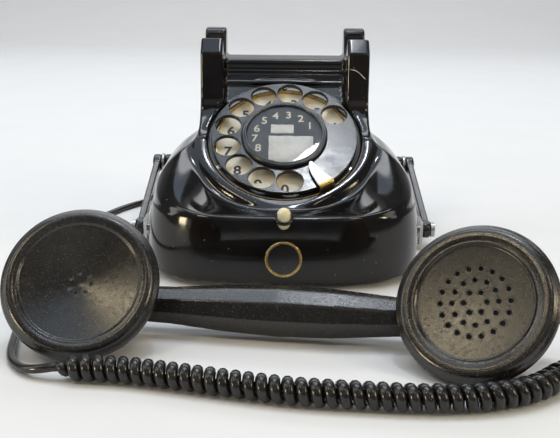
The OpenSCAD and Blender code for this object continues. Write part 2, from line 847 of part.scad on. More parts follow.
module line_grommet() {
    color([0.06, 0.06, 0.06]) placed() inlet(grommet_x, 2.6);
}

// ---- handset ----------------------------------------------------------

handset_at = [-4.8, -138.5, 28.9];
handset_yaw = -6.5;
handset_tilt = 52.6;
cap_r = cap_d / 2;
side_h = 5;
gland_x0 = 97;
gland_z = -20;
gland_len = 12;

module at_handset() {
    translate(handset_at) rotate([0, 0, handset_yaw]) rotate([handset_tilt, 0, 0]) children();
}

module gland_cone() {
    translate([gland_x0, 0, gland_z]) rotate([0, 90, 0]) cylinder(r1 = 4.6, r2 = 3.2, h = gland_len);
}

module at_receiver() {
    translate([-cap_span / 2, 0, 0]) rotate([0, receiver_tilt, 0]) children();
}

module at_mouth() {
    translate([cap_span / 2, 0, 0]) rotate([0, -mouth_tilt, 0]) children();
}

// Half width and half thickness of the grip along its length
grip_x = [-64, -52, -44, -22, 0, 22, 44, 52, 64];
grip_s = [0.66, 0.7, 0.72, 0.9, 1, 0.95, 0.78, 0.72, 0.66];
grip_profile = [[0, 0.9], [0.62, 0.66], [1, 0], [0.72, -0.62], [0, -0.85], [-0.72, -0.62], [-1, 0],
    [-0.62, 0.66]];

module grip_bar() {
    skin([for (i = [0:len(grip_x) - 1]) [for (p = grip_profile)
        [grip_x[i], p[0] * grip_w / 2 * grip_s[i], -grip_back + p[1] * grip_w / 2 * grip_s[i]]]],
        [grip_x[0], 0, -grip_back], [grip_x[len(grip_x) - 1], 0, -grip_back]);
}

// Hollow head behind a cap
module head() {
    rotate_extrude() polygon([[cap_r - 3, -side_h - 1], [cap_r - 3.6, -11], [cap_r - 9, -18],
        [cap_r - 15, -25], [0, -27], [0, -23], [cap_r - 16, -21.5], [cap_r - 12, -16],
        [cap_r - 6.6, -10], [cap_r - 6, -side_h - 1]]);
}

module handset_grip() {
    color(black) placed() at_handset() {
        difference() {
            union() {
                grip_bar();
                at_receiver() head();
                at_mouth() head();
            }
            at_receiver() translate([0, 0, -17]) cylinder(r = cap_r - 12.5, h = 20);
            at_mouth() translate([0, 0, -17]) cylinder(r = cap_r - 12.5, h = 20);
            gland_cone();
        }
    }
}

module receiver_cap() {
    color(black) placed() at_handset() at_receiver() difference() {
        rotate_extrude($fn = 96) polygon([[0, -2], [3.4, -2], [5, -2.4], [cap_r - 9, -0.6],
            [cap_r - 6.5, 0.6], [cap_r - 4.5, 1], [cap_r - 2, 0.2], [cap_r - 0.4, -1.6],
            [cap_r, -3], [cap_r - 0.6, -side_h - 0.4], [cap_r - 2.4, -side_h - 1],
            [cap_r - 6, -side_h - 1], [cap_r - 8, -4.6], [0, -4.6]]);
        for (a = [0:60:300]) rotate(a) translate([4.3, 0, -6]) cylinder(r = 0.8, h = 6);
        translate([0, 0, -6]) cylinder(r = 0.8, h = 6);
    }
}

module transmitter_cap() {
    color(black) placed() at_handset() at_mouth() difference() {
        rotate_extrude($fn = 96) polygon([[0, -1], [cap_r - 9.5, -1], [cap_r - 8.4, 0],
            [cap_r - 7.4, 0.2], [cap_r - 4.4, 0.6], [cap_r - 2, 0], [cap_r - 0.4, -1.6],
            [cap_r, -3], [cap_r - 0.6, -side_h - 0.4], [cap_r - 2.4, -side_h - 1],
            [cap_r - 6, -side_h - 1], [cap_r - 8, -3.6], [0, -3.6]]);
        for (ring_of = [[18, 13.2], [12, 8.8], [6, 4.4]], k = [0:ring_of[0] - 1])
            rotate(k * 360 / ring_of[0]) translate([ring_of[1], 0, -6])
                cylinder(r = 0.85, h = 8, $fn = 16);
    }
}

module receiver_capsule() {
    color(nickel) placed() at_handset() at_receiver() translate([0, 0, -15])
        cylinder(r = cap_r - 13, h = 10);
}

module transmitter_capsule() {
    color(nickel) placed() at_handset() at_mouth() translate([0, 0, -15])
        cylinder(r = cap_r - 13, h = 10);
}

module handset_gland() {
    color([0.06, 0.06, 0.06]) placed() at_handset() gland_cone();
}

// ---- cord -------------------------------------------------------------

// Where the handset's gland ends, in the telephone's own frame
gland_end = let (x = gland_x0 + gland_len + run, y = -gland_z * sin(handset_tilt)) handset_at
    + [x * cos(handset_yaw) - y * sin(handset_yaw), x * sin(handset_yaw) + y * cos(handset_yaw),
        gland_z * cos(handset_tilt)];

coil_r = coil_d / 2;
cord_r = cord_d / 2;
coil_route = [[113, -149, 8], [108, -155, 6.2], [101, -159, 5.3], [88, -170, 5.3],
    [70, -176.5, 5.3], [50, -178, 5.3], [28, -176.5, 5.3], [5, -174, 5.3], [-17, -169, 5.3],
    [-38, -163.5, 5.3], [-60, -158.5, 5.3], [-84, -157, 5.3]];
mouth_route = [gland_end, gland_end + [5, -0.6, 0], [116, -137.5, 16], [119.5, -140.5, 14],
    [119, -144.5, 11.5],
    [116, -147, 9.5], [113, -149, 8]];
phone_route = [[-84, -157, 5.3], [-92, -155.5, 3.6], [-99, -150, 2], [-105, -140, 1.9],
    [-109, -120, 1.9], [-115, -80, 1.9], [-119, -30, 1.9], [-117, 20, 1.9], [-106, 62, 1.9],
    [-88, 92, 1.9], [-66, 104, 1.9], [-46, 99, 3], [-35, 84, 8], [-32, 70, 12], [-32, 64.2, 12]];

// Smooth curve through the hand-set points
function cr(p0, p1, p2, p3, t) = 0.5 * (2 * p1 + (p2 - p0) * t + (2 * p0 - 5 * p1 + 4 * p2 - p3) * t * t
    + (3 * p1 - p0 - 3 * p2 + p3) * t * t * t);
function smooth(r, k) = let (n = len(r)) [
    for (i = [0:n - 2], j = [0:k - 1])
        cr(r[max(i - 1, 0)], r[i], r[i + 1], r[min(i + 2, n - 1)], j / k),
    r[n - 1]];

// Sweeps a round section along points, keeping its sides level
module tube(path, r, sides) {
    n = len(path);
    rings = [for (i = [0:n - 1])
        let (
            d = path[min(i + 1, n - 1)] - path[max(i - 1, 0)],
            t = d / norm(d),
            side = cross(t, [0, 0, 1]),
            x = side / norm(side),
            y = cross(x, t)
        ) [for (k = [0:sides - 1])
            path[i] + r * (x * cos(k * 360 / sides) + y * sin(k * 360 / sides))]];
    skin(rings, path[0], path[n - 1]);
}

module tail_phone() {
    color([0.05, 0.05, 0.05]) placed() tube(smooth(phone_route, 5), cord_r, 8);
}

module curly_cord() {
    color([0.05, 0.05, 0.05]) placed() tube(smooth(coil_route, 3), coil_r, 12);
}

module tail_handset() {
    color([0.05, 0.05, 0.05]) placed() tube(smooth(mouth_route, 4), cord_r, 8);
}

housing();
dial_surround();
cradle_posts();
cradle_bar();
base_plate();
rubber_feet();
base_screws();
badge_ring();
dial_case();
number_plate();
finger_stop();
dial_screws();
dial_bridge();
mainspring();
pulse_contacts();
finger_wheel();
dial_bezel();
number_card();
card_window();
dial_shaft();
main_gear();
impulse_pinion();
governor();
call_button();
button_collar();
button_spring();
cradle_plungers();
hook_yoke();
hook_springs();
hook_bracket();
hook_lever();
hook_contacts();
left_gong();
right_gong();
gong_posts();
ringer_frame();
ringer_coils();
clapper();
induction_coil();
capacitor();
terminal_block();
terminal_screws();
bail_brackets();
bail_pivot_screws();
bail_arms();
bail_grip();
bail_collars();
cord_gland();
line_grommet();
handset_grip();
receiver_cap();
transmitter_cap();
receiver_capsule();
transmitter_capsule();
handset_gland();
tail_phone();
curly_cord();
tail_handset();
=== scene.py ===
import json
import math

import bmesh
import bpy
import numpy as np
from mathutils import Matrix, Vector

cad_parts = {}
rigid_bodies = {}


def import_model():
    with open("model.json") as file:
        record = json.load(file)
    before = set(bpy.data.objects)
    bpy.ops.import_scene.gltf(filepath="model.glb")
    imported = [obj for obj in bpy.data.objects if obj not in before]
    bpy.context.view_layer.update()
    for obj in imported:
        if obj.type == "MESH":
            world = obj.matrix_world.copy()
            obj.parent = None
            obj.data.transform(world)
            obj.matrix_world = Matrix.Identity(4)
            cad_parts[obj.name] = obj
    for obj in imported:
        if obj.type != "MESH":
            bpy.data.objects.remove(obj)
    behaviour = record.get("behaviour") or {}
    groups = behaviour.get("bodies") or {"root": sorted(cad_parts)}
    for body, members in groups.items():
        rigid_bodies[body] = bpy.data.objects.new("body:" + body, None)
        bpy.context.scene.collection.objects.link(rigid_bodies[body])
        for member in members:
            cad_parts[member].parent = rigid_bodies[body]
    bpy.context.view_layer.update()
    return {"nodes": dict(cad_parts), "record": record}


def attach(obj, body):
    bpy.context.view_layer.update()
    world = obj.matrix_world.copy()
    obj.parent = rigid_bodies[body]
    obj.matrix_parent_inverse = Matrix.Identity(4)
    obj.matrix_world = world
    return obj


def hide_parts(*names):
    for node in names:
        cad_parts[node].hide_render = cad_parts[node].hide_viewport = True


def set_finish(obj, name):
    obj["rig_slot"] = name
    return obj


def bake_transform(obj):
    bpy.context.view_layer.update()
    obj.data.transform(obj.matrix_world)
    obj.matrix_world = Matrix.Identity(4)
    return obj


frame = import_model()

# The source's own frame is moved by this much, so that the origin is under the whole.
PLACE = np.array([2.5, 40.5, 0.0])
MM = 0.001


def world(points):
    """Points of the source's frame, in millimetres, as points of the row frame in metres."""
    return (np.asarray(points, float) + PLACE) * MM


# ---- camera -----------------------------------------------------------

camera_data = bpy.data.cameras.new("camera")
camera_data.sensor_width = 36
camera_data.lens = 55.5
camera_data.clip_start = 0.01
camera = bpy.data.objects.new("camera", camera_data)
bpy.context.collection.objects.link(camera)
camera.matrix_world = (
    Matrix.Translation(Vector(world([-1.8, -445, 145])))
    @ Matrix.Rotation(math.radians(90 - 16), 4, "X")
    @ Matrix.Rotation(math.radians(0.6), 4, "Z")
)
bpy.context.scene.camera = camera


# ---- helpers ----------------------------------------------------------

def new_object(name, verts, faces):
    """A smooth-shaded object from points and faces of any size."""
    mesh = bpy.data.meshes.new(name)
    mesh.from_pydata([tuple(v) for v in verts], [], [tuple(int(i) for i in f) for f in faces])
    mesh.validate()
    obj = bpy.data.objects.new(name, mesh)
    bpy.context.collection.objects.link(obj)
    mesh.shade_smooth()
    return obj


def curve_through(route, k):
    """Catmull-Rom curve through the route's points, k steps between each two."""
    r = np.asarray(route, float)
    n = len(r)
    out = []
    for i in range(n - 1):
        p0, p1, p2, p3 = r[max(i - 1, 0)], r[i], r[i + 1], r[min(i + 2, n - 1)]
        for j in range(k):
            t = j / k
            out.append(0.5 * (2 * p1 + (p2 - p0) * t + (2 * p0 - 5 * p1 + 4 * p2 - p3) * t * t
                              + (3 * p1 - p0 - 3 * p2 + p3) * t ** 3))
    out.append(r[-1])
    return np.array(out)


def resample(path, step):
    """The same line with points a step apart."""
    seg = np.linalg.norm(np.diff(path, axis=0), axis=1)
    s = np.concatenate([[0], np.cumsum(seg)])
    n = max(2, int(round(s[-1] / step)) + 1)
    t = np.linspace(0, s[-1], n)
    return np.stack([np.interp(t, s, path[:, i]) for i in range(3)], 1)


def frames_along(path):
    """Unit tangent and two unit normals at each point, turning as little as possible."""
    tan = np.gradient(path, axis=0)
    tan /= np.linalg.norm(tan, axis=1)[:, None]
    a = np.cross(tan[0], [0, 0, 1.0])
    a /= np.linalg.norm(a)
    first, second = [], []
    for t in tan:
        a = a - t * (a @ t)
        a /= np.linalg.norm(a)
        first.append(a.copy())
        second.append(np.cross(t, a))
    return tan, np.array(first), np.array(second)


def tube(name, path, radius, sides):
    """A closed round tube along a path of points in metres; radius may vary along it."""
    radius = np.broadcast_to(radius, (len(path),))
    _, a, b = frames_along(path)
    ang = np.arange(sides) * 2 * math.pi / sides
    rings = (path[:, None, :] + radius[:, None, None] * (
        a[:, None, :] * np.cos(ang)[None, :, None] + b[:, None, :] * np.sin(ang)[None, :, None]))
    verts = rings.reshape(-1, 3)
    faces = []
    for i in range(len(path) - 1):
        for j in range(sides):
            k = (j + 1) % sides
            faces.append((i * sides + j, i * sides + k, (i + 1) * sides + k, (i + 1) * sides + j))
    faces.append(tuple(range(sides))[::-1])
    last = (len(path) - 1) * sides
    faces.append(tuple(range(last, last + sides)))
    return new_object(name, verts, faces)


# ---- cord -------------------------------------------------------------

HANDSET_AT = np.array([-4.8, -138.5, 28.9])
HANDSET_YAW, HANDSET_TILT = math.radians(-6.5), math.radians(52.6)


def handset_point(x, y, z):
    """A point of the handset's own place, in the source's frame: z is the way the caps face."""
    c, s = math.cos(HANDSET_TILT), math.sin(HANDSET_TILT)
    u, v, w = x, y * c - z * s, y * s + z * c
    c, s = math.cos(HANDSET_YAW), math.sin(HANDSET_YAW)
    return HANDSET_AT + np.array([u * c - v * s, u * s + v * c, w])


gland_end = handset_point(109.05, 0, -20)
PHONE_ROUTE = [(-32, 64.2, 12), (-32, 70, 12), (-35, 84, 8), (-46, 99, 3), (-66, 104, 1.9),
               (-88, 92, 1.9), (-106, 62, 1.9), (-117, 20, 1.9), (-119, -30, 1.9),
               (-115, -80, 1.9), (-109, -120, 1.9), (-105, -140, 1.9), (-99, -150, 2),
               (-92, -155.5, 3.6), (-84, -157, 5.3)]
COIL_ROUTE = [(-84, -157, 5.3), (-60, -158.5, 5.3), (-38, -163.5, 5.3), (-17, -169, 5.3),
              (5, -174, 5.3), (28, -176.5, 5.3), (50, -178, 5.3), (70, -176.5, 5.3),
              (88, -170, 5.3), (101, -159, 5.3), (108, -155, 6.2), (113, -149, 8)]
MOUTH_ROUTE = [(113, -149, 8), (116, -147, 9.5), (119, -144.5, 11.5), (119.5, -140.5, 14),
               (116, -137.5, 16), tuple(gland_end + [5, -0.6, 0]), tuple(gland_end)]
COIL_R, STRAND_R, TAIL_R, PITCH = 5.15, 2.15, 1.75, 4.72


def cord_line():
    """The whole cord's centreline in millimetres and its radius: tail, coil, tail."""
    tail_a = resample(curve_through(PHONE_ROUTE, 8), 2.0)
    tail_b = resample(curve_through(MOUTH_ROUTE, 8), 1.5)
    axis = resample(curve_through(COIL_ROUTE, 8), PITCH / 20)
    _, a, b = frames_along(axis)
    length = np.concatenate([[0], np.cumsum(np.linalg.norm(np.diff(axis, axis=0), axis=1))])
    turn = length / PITCH * 2 * math.pi + math.pi / 2
    ease = np.clip(np.minimum(length, length[-1] - length) / 9.0, 0, 1)
    ease = ease * ease * (3 - 2 * ease)
    reach = (COIL_R - STRAND_R) * ease
    coil = axis + reach[:, None] * (a * np.cos(turn)[:, None] + b * np.sin(turn)[:, None])
    line = np.concatenate([tail_a[:-1], coil, tail_b[1:]])
    radius = np.concatenate([np.full(len(tail_a) - 1, TAIL_R), TAIL_R + (STRAND_R - TAIL_R) * ease,
                             np.full(len(tail_b) - 1, TAIL_R)])
    return line, radius


line, line_r = cord_line()
cord_path = world(line)
cord = tube("cord", cord_path, line_r * MM, 10)
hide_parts("tail_phone", "curly_cord", "tail_handset")
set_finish(cord, "cord")
tuple(world([40, -176, 5]))
tuple(world([104, -176, 5]))
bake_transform(cord)


# ---- smooth solids from distance functions ----------------------------
# Every function here takes arrays x, y, z in millimetres of the source's frame, and is
# negative inside the solid.

def soft_max(a, b, k):
    h = np.maximum(k - np.abs(a - b), 0) / k
    return np.maximum(a, b) + h * h * k / 4


def soft_min(a, b, k):
    return -soft_max(-a, -b, k)


def polygon_distance(px, py, poly):
    """Signed distance from points to a closed polygon."""
    poly = np.asarray(poly, float)
    best = np.full(np.shape(px), 1e9)
    inside = np.zeros(np.shape(px), bool)
    for (ax, ay), (bx, by) in zip(poly, np.roll(poly, -1, axis=0)):
        ex, ey = bx - ax, by - ay
        if ex * ex + ey * ey < 1e-12:
            continue
        t = np.clip(((px - ax) * ex + (py - ay) * ey) / (ex * ex + ey * ey), 0, 1)
        best = np.minimum(best, np.hypot(px - ax - t * ex, py - ay - t * ey))
        cross = ((ay > py) != (by > py)) & (px < (bx - ax) * (py - ay) / (by - ay + 1e-12) + ax)
        inside ^= cross
    return np.where(inside, -best, best)


class Flat:
    """Values on a fine flat grid, read back between its points."""

    def __init__(self, fill, lo, hi, step):
        self.lo, self.step = np.array(lo, float), step
        self.n = [int(math.ceil((h - l) / step)) + 2 for l, h in zip(lo, hi)]
        u = lo[0] + step * np.arange(self.n[0])
        v = lo[1] + step * np.arange(self.n[1])
        self.grid = fill(*np.meshgrid(u, v, indexing="ij"))

    def __call__(self, u, v):
        a = np.clip((u - self.lo[0]) / self.step, 0, self.n[0] - 1.001)
        b = np.clip((v - self.lo[1]) / self.step, 0, self.n[1] - 1.001)
        i, j = a.astype(np.int32), b.astype(np.int32)
        a, b = a - i, b - j
        g = self.grid
        return ((g[i, j] * (1 - a) + g[i + 1, j] * a) * (1 - b)
                + (g[i, j + 1] * (1 - a) + g[i + 1, j + 1] * a) * b)


def net(name, f, lo, hi, step, place=None):
    """A mesh of quads on the surface where f is nought; place turns its points into the source's frame."""
    lo, hi = np.array(lo, float), np.array(hi, float)
    n = np.ceil((hi - lo) / step).astype(int) + 1
    axes = [lo[i] + step * np.arange(n[i]) for i in range(3)]
    val = np.empty(n, np.float32)
    for a in range(0, n[0], 16):
        x, y, z = np.meshgrid(axes[0][a:a + 16], axes[1], axes[2], indexing="ij")
        val[a:a + 16] = f(x, y, z)
    ins = val < 0
    c = ins[:-1, :-1, :-1].astype(np.int8)
    for d in ((1, 0, 0), (0, 1, 0), (0, 0, 1), (1, 1, 0), (1, 0, 1), (0, 1, 1), (1, 1, 1)):
        c = c + ins[d[0]:n[0] - 1 + d[0], d[1]:n[1] - 1 + d[1], d[2]:n[2] - 1 + d[2]]
    ci, cj, ck = np.nonzero((c > 0) & (c < 8))
    index = np.full(c.shape, -1, np.int64)
    index[ci, cj, ck] = np.arange(len(ci))
    total, count = np.zeros((len(ci), 3)), np.zeros(len(ci))
    corners = [(a, b, d) for a in (0, 1) for b in (0, 1) for d in (0, 1)]
    for p in corners:
        for axis in range(3):
            if p[axis]:
                continue
            q = tuple(1 if i == axis else p[i] for i in range(3))
            va = val[ci + p[0], cj + p[1], ck + p[2]].astype(float)
            vb = val[ci + q[0], cj + q[1], ck + q[2]].astype(float)
            cut = (va < 0) != (vb < 0)
            t = np.where(cut, va / np.where(cut, va - vb, 1), 0)
            at = np.stack([ci + p[0], cj + p[1], ck + p[2]], 1).astype(float)
            at[:, axis] += t
            total += at * cut[:, None]
            count += cut
    verts = lo + step * total / count[:, None]
    for _ in range(3):
        x, y, z = verts.T
        e = 0.05 * step
        v = f(x, y, z)
        g = np.stack([f(x + e, y, z) - f(x - e, y, z), f(x, y + e, z) - f(x, y - e, z),
                      f(x, y, z + e) - f(x, y, z - e)], 1) / (2 * e)
        move = -v[:, None] * g / np.maximum((g * g).sum(1), 0.05)[:, None]
        size = np.linalg.norm(move, axis=1)
        verts = verts + move * np.minimum(1, 0.4 * step / np.maximum(size, 1e-9))[:, None]
    faces = []
    for axis in range(3):
        b, d = (axis + 1) % 3, (axis + 2) % 3
        lo_s = [slice(1, n[i] - 1) for i in range(3)]
        hi_s = list(lo_s)
        lo_s[axis], hi_s[axis] = slice(0, n[axis] - 1), slice(1, n[axis])
        s0, s1 = ins[tuple(lo_s)], ins[tuple(hi_s)]
        at = np.stack(np.nonzero(s0 != s1), 1)
        flip = ~s0[tuple(at.T)]
        at[:, b] += 1
        at[:, d] += 1
        ring = []
        for ob, od in ((0, 0), (-1, 0), (-1, -1), (0, -1)):
            q = at.copy()
            q[:, b] += ob
            q[:, d] += od
            ring.append(index[tuple(q.T)])
        quad = np.stack(ring, 1)
        quad[flip] = quad[flip][:, ::-1]
        faces.append(quad)
    faces = np.concatenate(faces)
    faces = faces[(faces >= 0).all(1)]
    if place is not None:
        verts = place(verts)
    return quads(name, world(verts), faces)


def quads(name, verts, faces):
    """An object from arrays of points and of four-cornered faces."""
    mesh = bpy.data.meshes.new(name)
    mesh.vertices.add(len(verts))
    mesh.vertices.foreach_set("co", np.asarray(verts, np.float32).ravel())
    mesh.loops.add(4 * len(faces))
    mesh.loops.foreach_set("vertex_index", np.asarray(faces, np.int32).ravel())
    mesh.polygons.add(len(faces))
    mesh.polygons.foreach_set("loop_start", np.arange(0, 4 * len(faces), 4, dtype=np.int32))
    mesh.update(calc_edges=True)
    mesh.shade_smooth()
    obj = bpy.data.objects.new(name, mesh)
    bpy.context.collection.objects.link(obj)
    return obj


# ---- the dial's place and the housing ---------------------------------

TILT = math.radians(37.7)
TILT_C, TILT_S = math.cos(TILT), math.sin(TILT)
DIAL_Y, DIAL_Z = -6.9, 64.0
SHELL_HALF = (69, 63)
TOWER_HALF, TOWER_Y = (45.5, 49.8), 8.7
SHOULDER_Z = 36
POST_IN, POST_OUT = 32.8, 44.5
POCKET_R, WELL_R = 39.6, 36.4
ROD_X, ROD_Y = 38.65, 33.5
BUTTON_Y, BUTTON_Z = -62, 35.5
BUTTON_C, BUTTON_S = math.cos(math.radians(40)), math.sin(math.radians(40))
INLET_X, INLET_Z = (-32, 24), 12


def dial_place(v):
    """Points of the dial's place as points of the source's frame: y up the slope, z out of it."""
    return np.stack([v[:, 0], DIAL_Y + v[:, 1] * TILT_C - v[:, 2] * TILT_S,
                     DIAL_Z + v[:, 1] * TILT_S + v[:, 2] * TILT_C], 1)


def slope(y, z):
    """How far up the dial's slope and how far out of it a point is."""
    return ((y - DIAL_Y) * TILT_C + (z - DIAL_Z) * TILT_S,
            (z - DIAL_Z) * TILT_C - (y - DIAL_Y) * TILT_S)


def slope_yz(t, h):
    return np.array([DIAL_Y + t * TILT_C - h * TILT_S, DIAL_Z + t * TILT_S + h * TILT_C])


def arc(centre, radius, a0, a1, n=10):
    a = np.radians(np.linspace(a0, a1, n + 1))
    return [np.array(centre) + radius * np.array([math.cos(i), math.sin(i)]) for i in a]


def turned(centre, p, q):
    """Angles of two points about a centre, in degrees."""
    return [math.degrees(math.atan2(v[1] - centre[1], v[0] - centre[0])) for v in (p, q)]


def post_outline():
    foot, bend, front = slope_yz(0, -2), slope_yz(20.9, -2), np.array([13, 104])
    d1 = (foot - bend) / np.linalg.norm(foot - bend)
    d2 = (front - bend) / np.linalg.norm(front - bend)
    half = math.acos(d1 @ d2) / 2
    reach = 15 / math.tan(half)
    mid = (d1 + d2) / np.linalg.norm(d1 + d2) * 15 / math.sin(half) + bend
    a0, a1 = turned(mid, bend + d1 * reach, bend + d2 * reach)
    return [foot, *arc(mid, 15, a0, a1, 14), front, (20.3, 111), (21.5, 110.4),
            *arc((29.3, 107), 7, 180, 270), *arc((37.7, 107), 7, 270, 360),
            *arc((51.5, 108.7), 6, 180, 0, 16), (58.5, 55), (58.5, 30), (foot[0], 30)]


def mid_outline():
    return [slope_yz(0, -2), slope_yz(41.5, -2), (35, 91.5), (37, 92.5), *arc((39.5, 96), 2.5, 180, 100, 6),
            (51, 99.4), *arc((52.5, 94.8), 4.6, 90, 10, 6), (58.5, 55), (58.5, 30), (slope_yz(0, -2)[0], 30)]


def plan_radius(u, a, b):
    return ((np.abs(np.cos(u)) / a) ** 3.5 + (np.abs(np.sin(u)) / b) ** 3.5) ** (-1 / 3.5)


def roof_height(x, y):
    """Height of the body's upper surface, from the shoulder line in to the tower's foot."""
    low, high = np.zeros(np.shape(x)), np.ones(np.shape(x))
    rim_half = (66.45, 60.67)
    for _ in range(22):
        s = (low + high) / 2
        u = np.arctan2(y - TOWER_Y * s, x)
        edge = plan_radius(u, *rim_half) * (1 - s) + plan_radius(u, *TOWER_HALF) * s
        inside = np.hypot(x, y - TOWER_Y * s) < edge
        low, high = np.where(inside, s, low), np.where(inside, high, s)
    s = (low + high) / 2
    u = np.arctan2(y - TOWER_Y * s, x)
    inner_y = plan_radius(u, *TOWER_HALF) * np.sin(u) + TOWER_Y
    base = slope_yz(0, -2)
    top = np.minimum(60, base[1] + TILT_S / TILT_C * (inner_y - base[0]) - 1.5)
    return SHOULDER_Z + (top - SHOULDER_Z) * (1 - (1 - s) ** 1.6) ** (1 / 1.6)


def housing_function():
    post = Flat(lambda u, v: polygon_distance(u, v, post_outline()), (-75, -6), (75, 125), 0.3)
    mid = Flat(lambda u, v: polygon_distance(u, v, mid_outline()), (-75, -6), (75, 125), 0.3)
    cave_line = [slope_yz(0, -20), slope_yz(0, -7.5), slope_yz(38, -7.5), (38, 88), (53.5, 88), (55.5, 60),
                 (55.5, 34), (0, 34)]
    cave = Flat(lambda u, v: polygon_distance(u, v, cave_line), (-75, -6), (75, 125), 0.5)
    roof = Flat(roof_height, (-76, -76), (76, 76), 0.5)
    gx, gy = np.gradient(roof.grid, 0.5)
    level = Flat(lambda u, v: 1 / np.sqrt(1 + np.minimum(gx * gx + gy * gy, 16)), (-76, -76), (76, 76), 0.5)

    def f(x, y, z):
        ax = np.abs(x)
        u = np.arctan2(y, x)
        k = 1 - np.where(z > 14, 0.0000764, 0.00013) * (z - 14) ** 2
        edge = plan_radius(u, *SHELL_HALF) * np.where(z > SHOULDER_Z, 0.963, k)
        wall = np.hypot(x, y) - edge
        cap = (z - roof(x, y)) * level(x, y)
        body = soft_max(wall, cap, 2.4)
        t, h = slope(y, z)
        rho = np.hypot(x, t)
        drum = soft_max(rho - POST_OUT, np.maximum(h + 2, -17 - h), 2.6)
        posts = soft_max(post(y, z), np.maximum(ax - POST_OUT, POST_IN - ax), 1.6)
        middle = np.maximum(mid(y, z), ax - 33.5)
        tower = soft_min(soft_min(posts, middle, 2.4), drum, 1.5)
        out = soft_min(body, tower, 6.5)
        pocket = np.maximum(rho - POCKET_R, -4.5 - h)
        well = np.maximum(rho - WELL_R, np.maximum(h + 4, -60 - h))
        recess = np.maximum(np.maximum(ax - 31.4, np.abs(t - 19.9) - 19.9), np.abs(h + 1) - 3)
        out = soft_max(out, -soft_min(pocket, recess, 0.8), 1.3)
        inner = np.maximum(wall + 3, cap + 3)
        hollow = np.minimum(np.minimum(well, inner), np.maximum(cave(y, z), ax - 30.8))
        slot = np.maximum(np.maximum(ax - 41.5, np.abs(y - 40.5) - 12.5), np.abs(z - 75) - 9)
        bore = np.hypot(ax - ROD_X, y - ROD_Y)
        guide = np.minimum(np.maximum(bore - 2.5, 80 - z), np.maximum(bore - 4.15, 90.4 - z))
        hollow = np.minimum(np.minimum(hollow, slot), guide)
        button = np.hypot(x, (y - BUTTON_Y) * BUTTON_C + (z - BUTTON_Z) * BUTTON_S) - 3.2
        button = np.maximum(button, np.maximum(y + 45, 20 - z))
        inlet = np.minimum(*[np.hypot(x - at, z - INLET_Z) for at in INLET_X]) - 4.5
        inlet = np.maximum(inlet, 45 - y)
        hollow = np.minimum(np.minimum(hollow, button), inlet)
        out = soft_max(out, -hollow, 0.7)
        return np.maximum(out, 3.5 - z)

    return f


housing = net("housing_moulding", housing_function(), (-71, -65, 2.4), (71, 65, 116.6),
              0.8)
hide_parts("housing", "dial_surround", "cradle_posts", "cradle_bar")
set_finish(housing, "bakelite")
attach(housing, "phone")

# A pale scratch across the right post's front
scratch_line = np.array([(33.5, 12.62, 96.3), (35.2, 12.37, 95.7), (37.3, 12.35, 95.3), (39.4, 12.24, 93.9),
                         (41.6, 12.07, 91.6), (43.6, 12.2, 90.4)])
scratch = tube("post_scratch", world(scratch_line), np.array([0.04, 0.13, 0.15, 0.12, 0.16, 0.05]) * MM, 6)
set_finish(scratch, "bakelite")
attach(scratch, "phone")


# ---- dial -------------------------------------------------------------

def revolved(name, profile, sides=128, place=None):
    """A solid of revolution about z from points (radius, height), closed at both ends."""
    a = np.arange(sides) * 2 * math.pi / sides
    rings = np.array([[(r * math.cos(i), r * math.sin(i), h) for i in a] for r, h in profile])
    verts = rings.reshape(-1, 3)
    m = len(profile)
    i, j = np.meshgrid(np.arange(m), np.arange(sides), indexing="ij")
    i2, j2 = (i + 1) % m, (j + 1) % sides
    faces = np.stack([i * sides + j, i * sides + j2, i2 * sides + j2, i2 * sides + j], -1).reshape(-1, 4)
    if place is not None:
        verts = place(verts)
    obj = quads(name, world(verts), faces)
    obj.data.set_sharp_from_angle(angle=math.radians(38))
    return obj


WHEEL_R, HOLE_RING_R, HOLE_R = 37.5, 30, 6.6
HOLES = [math.radians(30 + 300 / 11 * k) for k in range(10)]
DIAL_MATRIX = Matrix.Translation(Vector(world([0, DIAL_Y, DIAL_Z]))) @ Matrix.Rotation(TILT, 4, "X")


def baked(name, sources):
    """One mesh object from evaluated objects, which are then removed."""
    bpy.context.view_layer.update()
    dg = bpy.context.evaluated_depsgraph_get()
    mesh = bmesh.new()
    for obj in sources:
        part = bpy.data.meshes.new_from_object(obj.evaluated_get(dg))
        part.transform(obj.matrix_world)
        mesh.from_mesh(part)
    data = bpy.data.meshes.new(name)
    mesh.to_mesh(data)
    mesh.free()
    for obj in sources:
        bpy.data.objects.remove(obj)
    out = bpy.data.objects.new(name, data)
    bpy.context.collection.objects.link(out)
    return out


def pierced_disc(name, circles, low, high, bevel):
    """A flat disc: the first circle (x, y, radius) is its edge, the others are holes with rounded edges."""
    data = bpy.data.curves.new(name, "CURVE")
    data.dimensions, data.fill_mode = "2D", "BOTH"
    for x, y, r in circles:
        sides = 192 if r > 20 else 72
        line = data.splines.new("POLY")
        line.points.add(sides - 1)
        line.use_cyclic_u = True
        for i, p in enumerate(line.points):
            a = 2 * math.pi * i / sides
            p.co = ((x + r * math.cos(a)) * MM, (y + r * math.sin(a)) * MM, 0, 1)
    data.bevel_depth, data.bevel_resolution, data.offset = bevel * MM, 4, -bevel * MM
    data.extrude = ((high - low) / 2 - bevel) * MM
    obj = bpy.data.objects.new(name, data)
    bpy.context.collection.objects.link(obj)
    obj.matrix_world = DIAL_MATRIX @ Matrix.Translation((0, 0, (low + high) / 2 * MM))
    out = baked(name, [obj])
    out.data.shade_smooth()
    out.data.set_sharp_from_angle(angle=math.radians(38))
    return out


def on_ring(radius, angle):
    return radius * math.cos(angle), radius * math.sin(angle)


